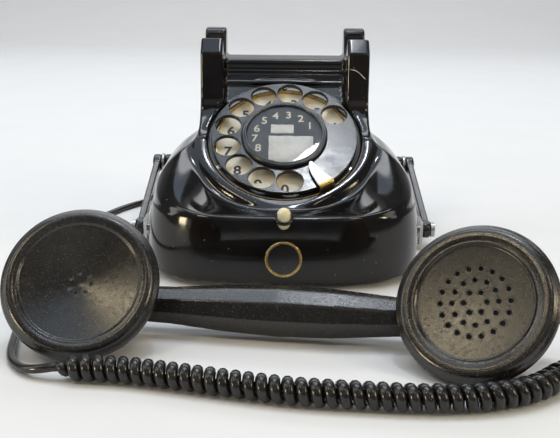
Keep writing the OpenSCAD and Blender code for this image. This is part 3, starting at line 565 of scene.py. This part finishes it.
wheel = pierced_disc("finger_wheel_plate", [(0, 0, WHEEL_R), (0, 0, 3.0)]
                     + [(*on_ring(HOLE_RING_R, a), HOLE_R) for a in HOLES], -2.2, 0, 0.4)
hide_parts("finger_wheel")
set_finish(wheel, "black_enamel")
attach(wheel, "dial")

bezel_profile = ([(22.1, 0.0)] + [tuple(p) for p in arc((21.0, 1.1), 1.15, -20, 100, 10)]
                 + [(20.55, 2.3), (20.4, 2.12), (20.25, 2.3)]
                 + [tuple(p) for p in arc((19.95, 1.55), 0.8, 80, 180, 8)] + [(19.1, 0.0)])
bezel = revolved("bezel_ring", bezel_profile, 160, dial_place)
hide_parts("dial_bezel")
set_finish(bezel, "black_enamel")
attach(bezel, "dial")

card = revolved("number_card_disc", [(0.01, 0), (19.2, 0), (19.2, 0.5), (0.01, 0.5)], 96, dial_place)
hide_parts("number_card")
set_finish(card, "card")
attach(card, "dial")
window = revolved("card_window_disc", [(0.01, 1.3), (19.25, 1.3), (19.25, 1.6), (0.01, 1.62)], 96,
                  dial_place)
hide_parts("card_window")
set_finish(window, "window")
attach(window, "dial")


def characters(name, places, height, bold, thick, slot, body, h):
    """Plain numerals standing upright on the dial's slope, as one mesh."""
    made = []
    for text, x, t in places:
        data = bpy.data.curves.new(name, "FONT")
        data.body, data.align_x, data.align_y = text, "CENTER", "CENTER"
        data.size, data.offset, data.extrude = height / 0.7 * MM, bold * MM, thick * MM
        obj = bpy.data.objects.new(name, data)
        bpy.context.collection.objects.link(obj)
        obj.matrix_world = DIAL_MATRIX @ Matrix.Translation((x * MM, t * MM, h * MM))
        made.append(obj)
    out = baked(name, made)
    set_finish(out, slot)
    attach(out, body)
    return out


PLATE_TURN = math.radians(4.5)
plate_digits = characters("plate_digits", [
    (str((k + 1) % 10), x, t - 1.8)
    for k, (x, t) in enumerate(on_ring(29.4, a - PLATE_TURN) for a in HOLES)],
    5.6, 0.22, 0.03, "card", "phone", -5.45)
card_digits = characters("card_digits", [
    (str(k + 1), x, t - 1.7)
    for k, (x, t) in enumerate(on_ring(15.3, math.radians(31 + 25.5 * i)) for i in range(8))],
    4.6, 0.1, 0.03, "ivory_plate", "dial", 0.55)


def label(name, x0, y0, x1, y1, h, seed):
    """A worn paper label on the card, cut round where it meets the bezel."""
    rng = np.random.default_rng(seed)
    n = 14
    edge = [(x0 + (x1 - x0) * i / n, y0) for i in range(n)]
    edge += [(x1, y0 + (y1 - y0) * i / n) for i in range(n)]
    edge += [(x1 - (x1 - x0) * i / n, y1) for i in range(n)]
    edge += [(x0, y1 - (y1 - y0) * i / n) for i in range(n)]
    points = []
    for x, y in edge:
        x, y = x + rng.uniform(-0.16, 0.16), y + rng.uniform(-0.16, 0.16)
        r = math.hypot(x, y)
        k = min(1, 18.7 / r)
        points.append((x * k, y * k))
    m = len(points)
    cx, cy = np.mean(points, axis=0)
    rows = []
    for z, k in ((0, 1.0), (0.12, 0.995), (0.14, 0.6), (0.18, 0.0)):
        rows += [(cx + (x - cx) * k, cy + (y - cy) * k, h + z + 0.05 * math.sin(x * 0.7) * k)
                 for x, y in points]
    faces = [(i * m + j, i * m + (j + 1) % m, (i + 1) * m + (j + 1) % m, (i + 1) * m + j)
             for i in range(3) for j in range(m)]
    out = quads(name, world(dial_place(np.array(rows))), faces)
    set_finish(out, "card")
    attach(out, "dial")
    return out


small_label = label("small_label", -7.0, 0.9, 4.8, 6.9, 0.52, 3)
large_label = label("large_label", -8.0, -18.2, 14.8, -0.9, 0.52, 5)

lip = revolved("dial_well_lip", [(35.3, -4.4), (39.0, -4.4), (39.0, -3.55), (38.7, -3.45), (35.6, -3.45)],
               160, dial_place)
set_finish(lip, "black_enamel")
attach(lip, "phone")
# Thin ring at the well's edge; its material paints a brass highlight along its lower front only
rim = revolved("dial_rim_line", [(38.75, -3.6)] + [tuple(p) for p in arc((39.05, -3.3), 0.28, 190, -10, 8)]
               + [(39.35, -3.6)], 160, dial_place)
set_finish(rim, "brass")
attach(rim, "phone")


def bent_sheet(name, centre, outline, thick, place):
    """A sheet cut to an outline (along, across) and bent along a line of (along, height) points."""
    centre = np.array(centre, float)
    run = np.concatenate([[0], np.cumsum(np.linalg.norm(np.diff(centre, axis=0), axis=1))])
    tan = np.gradient(centre, axis=0)
    tan /= np.linalg.norm(tan, axis=1)[:, None]
    normal = np.stack([-tan[:, 1], tan[:, 0]], 1)
    stations = np.array(sorted(set(np.linspace(0, run[-1], 40)) | {o[0] for o in outline}))
    low = np.interp(stations, [o[0] for o in outline], [o[1] for o in outline])
    high = np.interp(stations, [o[0] for o in outline], [o[2] for o in outline])
    rows, w = [], 9
    for side in (0.5, -0.5):
        for i, s in enumerate(stations):
            c = np.array([np.interp(s, run, centre[:, k]) for k in (0, 1)])
            n = np.array([np.interp(s, run, normal[:, k]) for k in (0, 1)])
            q = c + n * thick * side
            for j in range(w):
                rows.append((q[0], low[i] + (high[i] - low[i]) * j / (w - 1), q[1]))
    m = len(stations)
    faces = []
    for i in range(m - 1):
        for j in range(w - 1):
            p0 = i * w + j
            faces.append((p0, p0 + w, p0 + w + 1, p0 + 1))
            faces.append((p0 + m * w, p0 + 1 + m * w, p0 + w + 1 + m * w, p0 + w + m * w))
        for j, flip in ((0, False), (w - 1, True)):
            q = (i * w + j, i * w + j + m * w, (i + 1) * w + j + m * w, (i + 1) * w + j)
            faces.append(q[::-1] if flip else q)
    for i, flip in ((0, True), (m - 1, False)):
        for j in range(w - 1):
            q = (i * w + j, i * w + j + m * w, i * w + j + 1 + m * w, i * w + j + 1)
            faces.append(q[::-1] if flip else q)
    out = quads(name, world(place(np.array(rows))), faces)
    mesh = bmesh.new()
    mesh.from_mesh(out.data)
    bmesh.ops.recalc_face_normals(mesh, faces=mesh.faces)
    mesh.to_mesh(out.data)
    mesh.free()
    bevel = out.modifiers.new("edge", "BEVEL")
    bevel.width, bevel.segments, bevel.limit_method = 0.0002, 2, "ANGLE"
    return out


def stop_place(v):
    """Points laid out from the dial's middle, turned to the finger stop's angle."""
    c, s = math.cos(math.radians(-57)), math.sin(math.radians(-57))
    return dial_place(np.stack([v[:, 0] * c - v[:, 1] * s, v[:, 0] * s + v[:, 1] * c, v[:, 2]], 1))


blade = bent_sheet("finger_stop_blade", [(22.4, 1.0), (26, 1.15), (30, 1.3), (34, 1.35), (37.3, 1.35)],
                   [(0, 0.5, 1.6), (1.4, -0.9, 1.9), (3.6, -2.2, 2.2), (8, -3.4, 2.9), (12, -3.9, 3.6),
                    (15, -4.2, 4.2)], 0.8, stop_place)
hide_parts("finger_stop")
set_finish(blade, "nickel")
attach(blade, "phone")
tab = bent_sheet("finger_stop_tab",
                 [(36.6, 1.45), (37.6, 1.42), (38.3, 1.15), (38.7, 0.5), (38.85, -0.5), (38.9, -3.4)],
                 [(0, -4.2, 4.2), (7.5, -4.2, 4.2)], 0.9, stop_place)
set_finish(tab, "brass")
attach(tab, "phone")


# ---- call button and badge --------------------------------------------

def button_place(v):
    return np.stack([v[:, 0], BUTTON_Y + v[:, 1] * BUTTON_C - v[:, 2] * BUTTON_S,
                     BUTTON_Z + v[:, 1] * BUTTON_S + v[:, 2] * BUTTON_C], 1)


button = revolved("call_button_cap", [(0.01, -9), (3.0, -9), (3.1, -8), (3.1, 3.2)]
                  + [tuple(p) for p in arc((0.7, 3.4), 2.4, 0, 55, 6)] + [(1.1, 5.9), (0.01, 6.15)],
                  64, button_place)
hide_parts("call_button")
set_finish(button, "ivory_button")
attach(button, "button")
collar = revolved("button_collar_ring", [(3.25, 0.1), (4.4, 0.1), (4.45, 0.8)]
                  + [tuple(p) for p in arc((3.85, 0.9), 0.55, 0, 180, 8)], 64, button_place)
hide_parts("button_collar")
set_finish(collar, "bakelite")
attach(collar, "phone")


def badge_place(v):
    return np.stack([v[:, 0], -63.8 - v[:, 2] + 1.0, 16 + v[:, 1]], 1)


badge = revolved("badge_rim", [(8.8, 0.3), (8.75, 0.9)]
                 + [tuple(p) for p in arc((8.35, 1.0), 0.35, 20, 160, 6)]
                 + [(7.85, 0.85), (7.7, 1.05), (7.45, 1.05), (7.35, 0.6), (7.35, 0.3)], 96, badge_place)
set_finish(badge, "brass")
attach(badge, "phone")
field = revolved("badge_field", [(0.01, 0.3), (7.4, 0.3), (7.4, 0.62), (5.2, 0.72), (0.01, 0.8)],
                 96, badge_place)
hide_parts("badge_ring")
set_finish(field, "black_enamel")
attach(field, "phone")


# ---- carrying bail ----------------------------------------------------

RISE = math.radians(15.3)
PIVOT_Y, PIVOT_Z = 8, 10
ARM_LEN, ARM_X = 75.7, 78
HUB_Y, HUB_Z = PIVOT_Y + ARM_LEN * math.cos(RISE), PIVOT_Z + ARM_LEN * math.sin(RISE)


def arm_function(x, y, z):
    u = (y - PIVOT_Y) * math.cos(RISE) + (z - PIVOT_Z) * math.sin(RISE)
    w = (z - PIVOT_Z) * math.cos(RISE) - (y - PIVOT_Y) * math.sin(RISE)
    flat = np.abs(x - ARM_X) - 2
    bar = np.maximum(np.abs(w) - 3.5, np.maximum(-u, u - ARM_LEN))
    bar = soft_max(bar, flat, 1.6)
    pivot = soft_max(np.hypot(u, w) - 4.5, flat, 1.2)
    hub = soft_max(np.hypot(u - ARM_LEN, w) - 5.2, np.abs(x - 77.9) - 2.5, 1.4)
    out = soft_min(soft_min(bar, pivot, 1.5), hub, 1.5)
    return np.maximum(out, 2.05 - np.hypot(u, w))


def screw_function(x, y, z):
    """A round screw head with a slot across it."""
    y, z = y - PIVOT_Y, z - PIVOT_Z
    disc = soft_max(np.hypot(y, z) - 4, np.abs(x - 81.2) - 1.0, 0.9)
    return soft_max(disc, -np.maximum(np.abs(y * 0.8 + z * 0.6) - 0.45, 81.4 - x), 0.2)


for side, name in ((1, "right"), (-1, "left")):
    arm = net("bail_arm_" + name, arm_function, (74.6, 2, 3), (81.4, 88, 38), 0.5,
              lambda v, side=side: v * np.array([side, 1, 1]))
    if side < 0:
        arm.data.flip_normals()
    if side > 0:
        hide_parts("bail_arms")
    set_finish(arm, "black_enamel")
    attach(arm, "bail")


def bail_place(v):
    """Points turned so that their z runs along the bail's grip."""
    return np.stack([v[:, 2], HUB_Y + v[:, 0], HUB_Z - v[:, 1]], 1)


bar_line = ([(0.01, -73.4), (4.4, -73.4), (5.2, -72.6), (5.3, -71.0)] + [(5.3, z) for z in (-40, 0, 40)]
            + [(5.3, 71.0), (5.2, 72.6), (4.4, 73.4), (0.01, 73.4)])
bail_bar = revolved("bail_grip_bar", bar_line, 64, bail_place)
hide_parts("bail_grip")
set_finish(bail_bar, "bakelite")
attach(bail_bar, "bail")
for side, name in ((1, "right"), (-1, "left")):
    line = [(r, side * along) for r, along in ((2.1, 73.45), (5.3, 73.45), (5.75, 73.8), (5.75, 74.9),
                                               (5.4, 75.3), (2.1, 75.3))]
    ring = revolved("bail_collar_" + name, line, 64, bail_place)
    if side < 0:
        ring.data.flip_normals()
    else:
        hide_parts("bail_collars")
    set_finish(ring, "nickel")
    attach(ring, "bail")
    head = net("pivot_screw_" + name, screw_function, (79.8, 3.4, 5.4), (82.8, 12.6, 14.6), 0.25,
               lambda v, side=side: v * np.array([side, 1, 1]))
    if side < 0:
        head.data.flip_normals()
    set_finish(head, "nickel")
    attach(head, "phone")


# ---- handset ----------------------------------------------------------

CAP_X = 75.3
CAP_TILT = {-1: 6.5, 1: -20}


def handset_place(v):
    c, s = math.cos(HANDSET_TILT), math.sin(HANDSET_TILT)
    x, y, z = v[:, 0], v[:, 1] * c - v[:, 2] * s, v[:, 1] * s + v[:, 2] * c
    c, s = math.cos(HANDSET_YAW), math.sin(HANDSET_YAW)
    return HANDSET_AT + np.stack([x * c - y * s, x * s + y * c, z], 1)


def cap_place(side):
    """Turns points of a cap's own place into the source's frame; side is -1 at the ear, 1 at the mouth."""
    tilt = math.radians(CAP_TILT[side])

    def place(v):
        c, s = math.cos(tilt), math.sin(tilt)
        return handset_place(np.stack([side * CAP_X + v[:, 0] * c + v[:, 2] * s, v[:, 1],
                                       v[:, 2] * c - v[:, 0] * s], 1))

    return place


HEAD_LINE = [(28, -6), (27.4, -11), (22, -18), (16, -25), (0, -27), (0, -23), (15, -21.5), (19, -16),
             (24.4, -10), (25, -6)]
GRIP_X = [-64, -52, -44, -22, 0, 22, 44, 52, 64]
GRIP_S = [0.66, 0.7, 0.72, 0.9, 1, 0.95, 0.78, 0.72, 0.66]
GRIP_LINE = 11 * np.array([(0, 0.9), (0.62, 0.66), (1, 0), (0.72, -0.62), (0, -0.85), (-0.72, -0.62),
                           (-1, 0), (-0.62, 0.66)])


def grip_function():
    head = Flat(lambda u, v: polygon_distance(np.abs(u), v, HEAD_LINE), (-1, -50), (60, 30), 0.3)
    bar = Flat(lambda u, v: polygon_distance(u, v, GRIP_LINE), (-60, -60), (60, 60), 0.3)

    def f(x, y, z):
        s = np.interp(x, GRIP_X, GRIP_S)
        out = np.maximum(bar(y / s, (z + 28) / s) * s, np.abs(x) - 63)
        room = np.full(np.shape(x), 1e9)
        for side, tilt in CAP_TILT.items():
            c, sn = math.cos(math.radians(tilt)), math.sin(math.radians(tilt))
            u, w = (x - side * CAP_X) * c - z * sn, (x - side * CAP_X) * sn + z * c
            rho = np.hypot(u, y)
            out = soft_min(out, head(rho, w), 3.5)
            room = np.minimum(room, np.maximum(rho - 18.5, -17 - w))
        return soft_max(out, -room, 0.5)

    return f


grip = net("handset_grip_moulding", grip_function(), (-108, -33, -46), (108, 33, 6),
           0.8, handset_place)
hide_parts("handset_grip")
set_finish(grip, "handset_bakelite")
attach(grip, "handset")


def cap_function(line, holes, radius):
    flat = Flat(lambda u, v: polygon_distance(np.abs(u), v, line), (-1, -12), (36, 6), 0.1)

    def f(x, y, z):
        out = flat(np.hypot(x, y), z)
        near = np.full(np.shape(x), 1e9)
        for hx, hy in holes:
            near = np.minimum(near, np.hypot(x - hx, y - hy))
        return soft_max(out, radius - near, 0.25)

    return f


def ring_of(count, radius):
    return [on_ring(radius, 2 * math.pi * k / count) for k in range(count)]


def eased(p, q, n, power):
    """Points from p to q along a bowl-shaped curve."""
    return [(p[0] + (q[0] - p[0]) * i / n, p[1] + (q[1] - p[1]) * (i / n) ** power) for i in range(n + 1)]


CAP_SIDE = [(31, -3), (30.4, -5.4), (28.6, -6), (25, -6)]
ear_line = (eased((0, -4.1), (23.2, -0.4), 14, 1.3) + [(24.1, 0.5)]
            + [tuple(p) for p in arc((26.5, -1.9), 2.9, 120, 30, 8)] + [(30.5, -1.9)] + CAP_SIDE
            + [(23, -4.8), (0, -4.8)])
mouth_line = (eased((0, -2.3), (21.3, -1), 12, 1.8)
              + [(22.1, -0.9), (22.6, -0.2), (23.1, 0.2), (23.7, 0.1), (24.2, 0.3), (25.4, 0.6)]
              + [tuple(p) for p in arc((26.6, -2.6), 3.2, 95, 30, 7)] + [(30.5, -1.9)] + CAP_SIDE
              + [(23, -3.6), (0, -3.6)])
step = 0.35
ear_holes = ring_of(7, 4.4) + [(0, 0)]
mouth_holes = ring_of(18, 13.2) + ring_of(12, 8.7) + ring_of(6, 4.3)
ear_cap = net("receiver_cap_moulding", cap_function(ear_line, ear_holes, 0.7), (-32, -32, -7), (32, 32, 2),
              step, cap_place(-1))
mouth_cap = net("transmitter_cap_moulding", cap_function(mouth_line, mouth_holes, 0.85), (-32, -32, -7),
                (32, 32, 2), step, cap_place(1))
for piece, node in ((ear_cap, "receiver_cap"), (mouth_cap, "transmitter_cap")):
    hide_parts(node)
    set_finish(piece, "handset_bakelite")
    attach(piece, "handset")


# ---- materials --------------------------------------------------------

class Nodes:
    """A material's node tree, with short ways to add to it."""

    def __init__(self, name):
        self.mat = bpy.data.materials.new(name)
        self.mat.use_nodes = True
        self.tree = self.mat.node_tree
        self.bsdf = self.tree.nodes["Principled BSDF"]
        self.coords = self.tree.nodes.new("ShaderNodeTexCoord").outputs["Object"]

    def add(self, kind, **inputs):
        node = self.tree.nodes.new("ShaderNode" + kind)
        for key, value in inputs.items():
            self.put(node.inputs[key.replace("_", " ")], value)
        return node

    def put(self, socket, value):
        if hasattr(value, "links"):
            self.tree.links.new(value, socket)
        else:
            socket.default_value = value

    def noise(self, scale, detail=4, rough=0.6, stretch=(1, 1, 1)):
        m = self.add("Mapping", Vector=self.coords)
        m.inputs["Scale"].default_value = stretch
        node = self.add("TexNoise", Vector=m.outputs[0], Scale=scale, Detail=detail, Roughness=rough)
        return node.outputs["Fac"]

    def specks(self, scale, size, share):
        """Small spots: size is their width against the spacing, share is how many there are."""
        v = self.add("TexVoronoi", Vector=self.coords, Scale=scale)
        near = self.math("LESS_THAN", v.outputs["Distance"], size)
        sep = self.add("SeparateColor", Color=v.outputs["Color"])
        return self.math("MULTIPLY", near, self.math("LESS_THAN", sep.outputs[0], share))

    def math(self, operation, a, b):
        node = self.tree.nodes.new("ShaderNodeMath")
        node.operation = operation
        self.put(node.inputs[0], a)
        self.put(node.inputs[1], b)
        return node.outputs[0]

    def span(self, fac, low, high, out_low, out_high):
        m = self.tree.nodes.new("ShaderNodeMapRange")
        self.put(m.inputs["Value"], fac)
        for key, value in (("From Min", low), ("From Max", high), ("To Min", out_low), ("To Max", out_high)):
            m.inputs[key].default_value = value
        return m.outputs[0]

    def blend(self, fac, a, b):
        m = self.tree.nodes.new("ShaderNodeMix")
        m.data_type = "RGBA"
        self.put(m.inputs[0], fac)
        self.put(m.inputs[6], a if hasattr(a, "links") else (*a, 1))
        self.put(m.inputs[7], b if hasattr(b, "links") else (*b, 1))
        return m.outputs[2]

    def bump(self, height, strength, distance):
        b = self.add("Bump", Height=height, Strength=strength, Distance=distance)
        if self.bsdf.inputs["Normal"].links:
            self.put(b.inputs["Normal"], self.bsdf.inputs["Normal"].links[0].from_socket)
        self.put(self.bsdf.inputs["Normal"], b.outputs[0])

    def set(self, **inputs):
        for key, value in inputs.items():
            self.put(self.bsdf.inputs[key.replace("_", " ")], value)


def surface(name, low, high, rough, metal=0.0, scale=120, bump=(0.0, 900, 0.0001), specks=None, ior=1.5,
            stretch=(1, 1, 1), scratch=0.0):
    """A worn surface: colour between two tones, roughness that varies, fine bump, dust and scratches."""
    n = Nodes(name)
    cloud = n.noise(scale, 5, 0.62, stretch)
    colour = n.blend(n.span(cloud, 0.35, 0.68, 0, 1), low, high)
    r = n.span(n.noise(scale * 2.3, 4, 0.6, stretch), 0.3, 0.7, rough[0], rough[1])
    if specks:
        spot = n.specks(*specks[:3])
        colour = n.blend(spot, colour, specks[3])
        r = n.math("MAXIMUM", r, n.math("MULTIPLY", spot, 0.6))
    if scratch:
        lines = n.noise(260, 2, 0.5, (1, 14, 5))
        r = n.math("ADD", r, n.math("MULTIPLY", n.math("GREATER_THAN", lines, 0.66), scratch))
    n.set(Base_Color=colour, Roughness=r, Metallic=metal, IOR=ior)
    if bump[0]:
        n.bump(n.noise(bump[1], 3, 0.6, stretch), bump[0], bump[2])
    return n.mat


DUST = (0.55, 0.54, 0.5)
M = {
    "bakelite": surface("bakelite", (0.004, 0.0038, 0.004), (0.011, 0.0085, 0.0075), (0.06, 0.14), scale=45,
                        specks=(520, 0.085, 0.10, DUST), scratch=0.12, bump=(0.05, 60, 0.0004), ior=1.45),
    "enamel": surface("enamel", (0.007, 0.007, 0.008), (0.014, 0.014, 0.016), (0.16, 0.26), scale=70,
                      specks=(700, 0.08, 0.08, DUST), bump=(0.08, 1500, 0.00006), ior=1.55),
    "handset": surface("handset", (0.007, 0.0062, 0.0055), (0.016, 0.0135, 0.011), (0.17, 0.3), scale=260,
                       specks=(1900, 0.22, 0.2, (0.17, 0.13, 0.07)), bump=(0.35, 2300, 0.00012), ior=1.6),
    "cord": surface("cord", (0.008, 0.008, 0.008), (0.02, 0.018, 0.016), (0.16, 0.28), scale=160,
                    specks=(900, 0.1, 0.1, (0.2, 0.18, 0.14)), bump=(0.18, 1200, 0.00015)),
    "rubber": surface("rubber", (0.02, 0.02, 0.02), (0.045, 0.044, 0.042), (0.55, 0.75), scale=160,
                      bump=(0.3, 1400, 0.0002)),
    "nickel": surface("nickel", (0.34, 0.33, 0.31), (0.56, 0.55, 0.53), (0.2, 0.38), metal=1.0, scale=180,
                      bump=(0.1, 1500, 0.00005)),
    "brass": surface("brass", (0.42, 0.29, 0.11), (0.72, 0.55, 0.26), (0.2, 0.42), metal=1.0, scale=170,
                     bump=(0.12, 1300, 0.00006)),
    "spring": surface("spring", (0.24, 0.26, 0.30), (0.42, 0.44, 0.47), (0.25, 0.4), metal=1.0, scale=150),
    "sheet": surface("sheet", (0.12, 0.12, 0.115), (0.2, 0.2, 0.19), (0.4, 0.6), scale=90,
                     bump=(0.15, 700, 0.0002)),
    "ivory": surface("ivory", (0.72, 0.64, 0.47), (0.86, 0.80, 0.64), (0.3, 0.45), scale=90,
                     specks=(600, 0.09, 0.12, (0.35, 0.27, 0.16))),
    "cream": surface("cream", (0.78, 0.68, 0.40), (0.93, 0.85, 0.58), (0.2, 0.35), scale=150),
    "card": surface("card", (0.028, 0.025, 0.022), (0.06, 0.052, 0.045), (0.5, 0.7), scale=140,
                    bump=(0.3, 1500, 0.0001)),
    "paper": surface("paper", (0.76, 0.74, 0.69), (0.92, 0.91, 0.87), (0.7, 0.85), scale=220,
                     bump=(0.35, 1200, 0.0002), specks=(420, 0.2, 0.12, (0.42, 0.2, 0.1))),
    "ink": surface("ink", (0.01, 0.01, 0.01), (0.02, 0.02, 0.02), (0.4, 0.5)),
    "winding": surface("winding", (0.22, 0.09, 0.04), (0.45, 0.2, 0.09), (0.3, 0.45), scale=60,
                       stretch=(1, 20, 1), bump=(0.6, 300, 0.0004)),
    "wax": surface("wax", (0.30, 0.2, 0.11), (0.5, 0.36, 0.2), (0.5, 0.7), scale=80),
    "tin": surface("tin", (0.45, 0.45, 0.42), (0.62, 0.62, 0.58), (0.3, 0.5), metal=1.0, scale=100),
    "board": surface("board", (0.10, 0.045, 0.025), (0.2, 0.1, 0.06), (0.4, 0.55), scale=90),
    "floor": surface("floor_finish", (0.76, 0.76, 0.76), (0.78, 0.78, 0.78), (0.75, 0.85), scale=14),
}


def glass_material():
    n = Nodes("window")
    n.set(Base_Color=(0.97, 0.98, 1, 1), Roughness=n.span(n.noise(120), 0.3, 0.7, 0.0, 0.04), IOR=1.3,
          Transmission_Weight=1.0)
    n.mat.blend_method = "BLEND"
    return n.mat


M["window"] = glass_material()


def rim_material():
    """Black enamel with a painted highlight: brass colour and metal along the lower, front part of the ring,
    where warm light catches the lip.
    """
    n = Nodes("rim")
    high = n.add("SeparateXYZ", Vector=n.coords).outputs[2]
    # painted highlight: brass and metallic below a set height, so only the lower front of the ring looks lit
    painted_highlight_mask = n.math("MULTIPLY", n.span(high, 0.036, 0.062, 1, 0), n.span(n.noise(300), 0.3, 0.5, 0.7, 1))
    n.set(Base_Color=n.blend(painted_highlight_mask, (0.012, 0.012, 0.013), (0.62, 0.46, 0.2)), Metallic=painted_highlight_mask, Roughness=0.28)
    return n.mat


M["rim"] = rim_material()

SLOT_FINISH = {
    "bakelite": "bakelite", "handset_bakelite": "handset", "black_enamel": "enamel", "nickel": "nickel",
    "steel_sheet": "sheet", "spring_steel": "spring", "brass": "brass", "ivory_plate": "ivory",
    "ivory_button": "cream", "card": "card", "window": "window", "rubber": "rubber", "winding": "winding",
    "wax_card": "wax", "tin_can": "tin", "terminal_board": "board", "cord": "cord",
}
NODE_SLOT = {p["node"]: p["material_slot"] for p in frame["record"]["subparts"]}
for node, obj in frame["nodes"].items():
    obj.data.materials.clear()
    obj.data.materials.append(M[SLOT_FINISH[NODE_SLOT[node]]])
plate_digits.data.materials.append(M["ink"])
rim.data.materials.append(M["rim"])
for piece in (small_label, large_label, scratch):
    piece.data.materials.append(M["paper"])
for obj in list(bpy.data.objects):
    if obj.type == "MESH" and "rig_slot" in obj and not obj.data.materials:
        obj.data.materials.append(M[SLOT_FINISH[obj["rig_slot"]]])


# ---- floor, backdrop and light ----------------------------------------

def sweep(name, wide, front, rear, bend, high):
    """A floor that curves up into a backdrop behind the object."""
    line = [(front, 0.0)] + [(rear - bend + bend * math.sin(a), bend - bend * math.cos(a))
                             for a in np.linspace(0, math.pi / 2, 24)] + [(rear, high)]
    verts = [(x, y, z) for y, z in line for x in (-wide, wide)]
    obj = new_object(name, verts, [(2 * i, 2 * i + 1, 2 * i + 3, 2 * i + 2) for i in range(len(line) - 1)])
    return obj


floor = sweep("floor", 3.5, -3.5, 2.2, 0.9, 3.2)
floor.data.materials.append(M["floor"])


def area_light(name, at, aim, size, power, color=(1, 1, 1)):
    data = bpy.data.lights.new(name, "AREA")
    data.shape = "RECTANGLE"
    data.size, data.size_y = size
    data.energy = power
    data.color = color
    obj = bpy.data.objects.new(name, data)
    bpy.context.collection.objects.link(obj)
    obj.location = at
    obj.rotation_euler = (Vector(aim) - Vector(at)).to_track_quat("-Z", "Y").to_euler()
    return obj


area_light("overhead", (-0.1, 0.05, 1.35), (0, 0, 0), (1.3, 1.0), 6.2, (0.66, 0.82, 1.0))
area_light("dial_glint", (0.075, 0.045, 1.33), (0.02, 0, 0.05), (0.1, 0.08), 1.7, (0.92, 0.96, 1.0))
area_light("warm_left", (-0.56, -0.54, 0.95), (-0.05, -0.14, 0.03), (0.15, 0.15), 1.5, (1.0, 0.84, 0.56))
area_light("warm_right", (0.40, -0.56, 0.95), (0.0, -0.14, 0.03), (0.14, 0.14), 1.0, (1.0, 0.83, 0.52))
area_light("low_left", (-1.0, -0.62, 0.14), (-0.1, -0.14, 0.03), (0.22, 0.16), 4.0, (1.0, 0.84, 0.56))
area_light("low_right", (0.95, -0.5, 0.5), (0.1, -0.14, 0.03), (0.14, 0.26), 2.8, (1.0, 0.84, 0.56))
area_light("rear_strip", (0, 1.05, 0.95), (0, 0, 0.06), (1.9, 0.3), 5.0, (0.92, 0.96, 1.0))
area_light("left_strip", (-1.15, -0.1, 0.65), (0, 0, 0.06), (0.28, 1.1), 3.2)
area_light("right_strip", (1.2, -0.25, 0.6), (0, 0, 0.06), (0.3, 0.9), 2.0, (1.0, 0.95, 0.88))
area_light("front_fill", (0.15, -1.9, 1.15), (0, 0, 0.05), (1.6, 0.9), 1.6, (1.0, 0.93, 0.85))
area_light("backdrop_wash", (0, 0.6, 2.2), (0, 2.0, 0.8), (2.6, 0.6), 27)

world_data = bpy.data.worlds.new("world")
bpy.context.scene.world = world_data
world_data.use_nodes = True
wt = world_data.node_tree
wt.nodes.clear()
out = wt.nodes.new("ShaderNodeOutputWorld")
bg = wt.nodes.new("ShaderNodeBackground")
bg.inputs["Color"].default_value = (0.85, 0.9, 1.0, 1)
bg.inputs["Strength"].default_value = 0.14
wt.links.new(bg.outputs[0], out.inputs[0])

bpy.context.scene.view_settings.view_transform = "Standard"
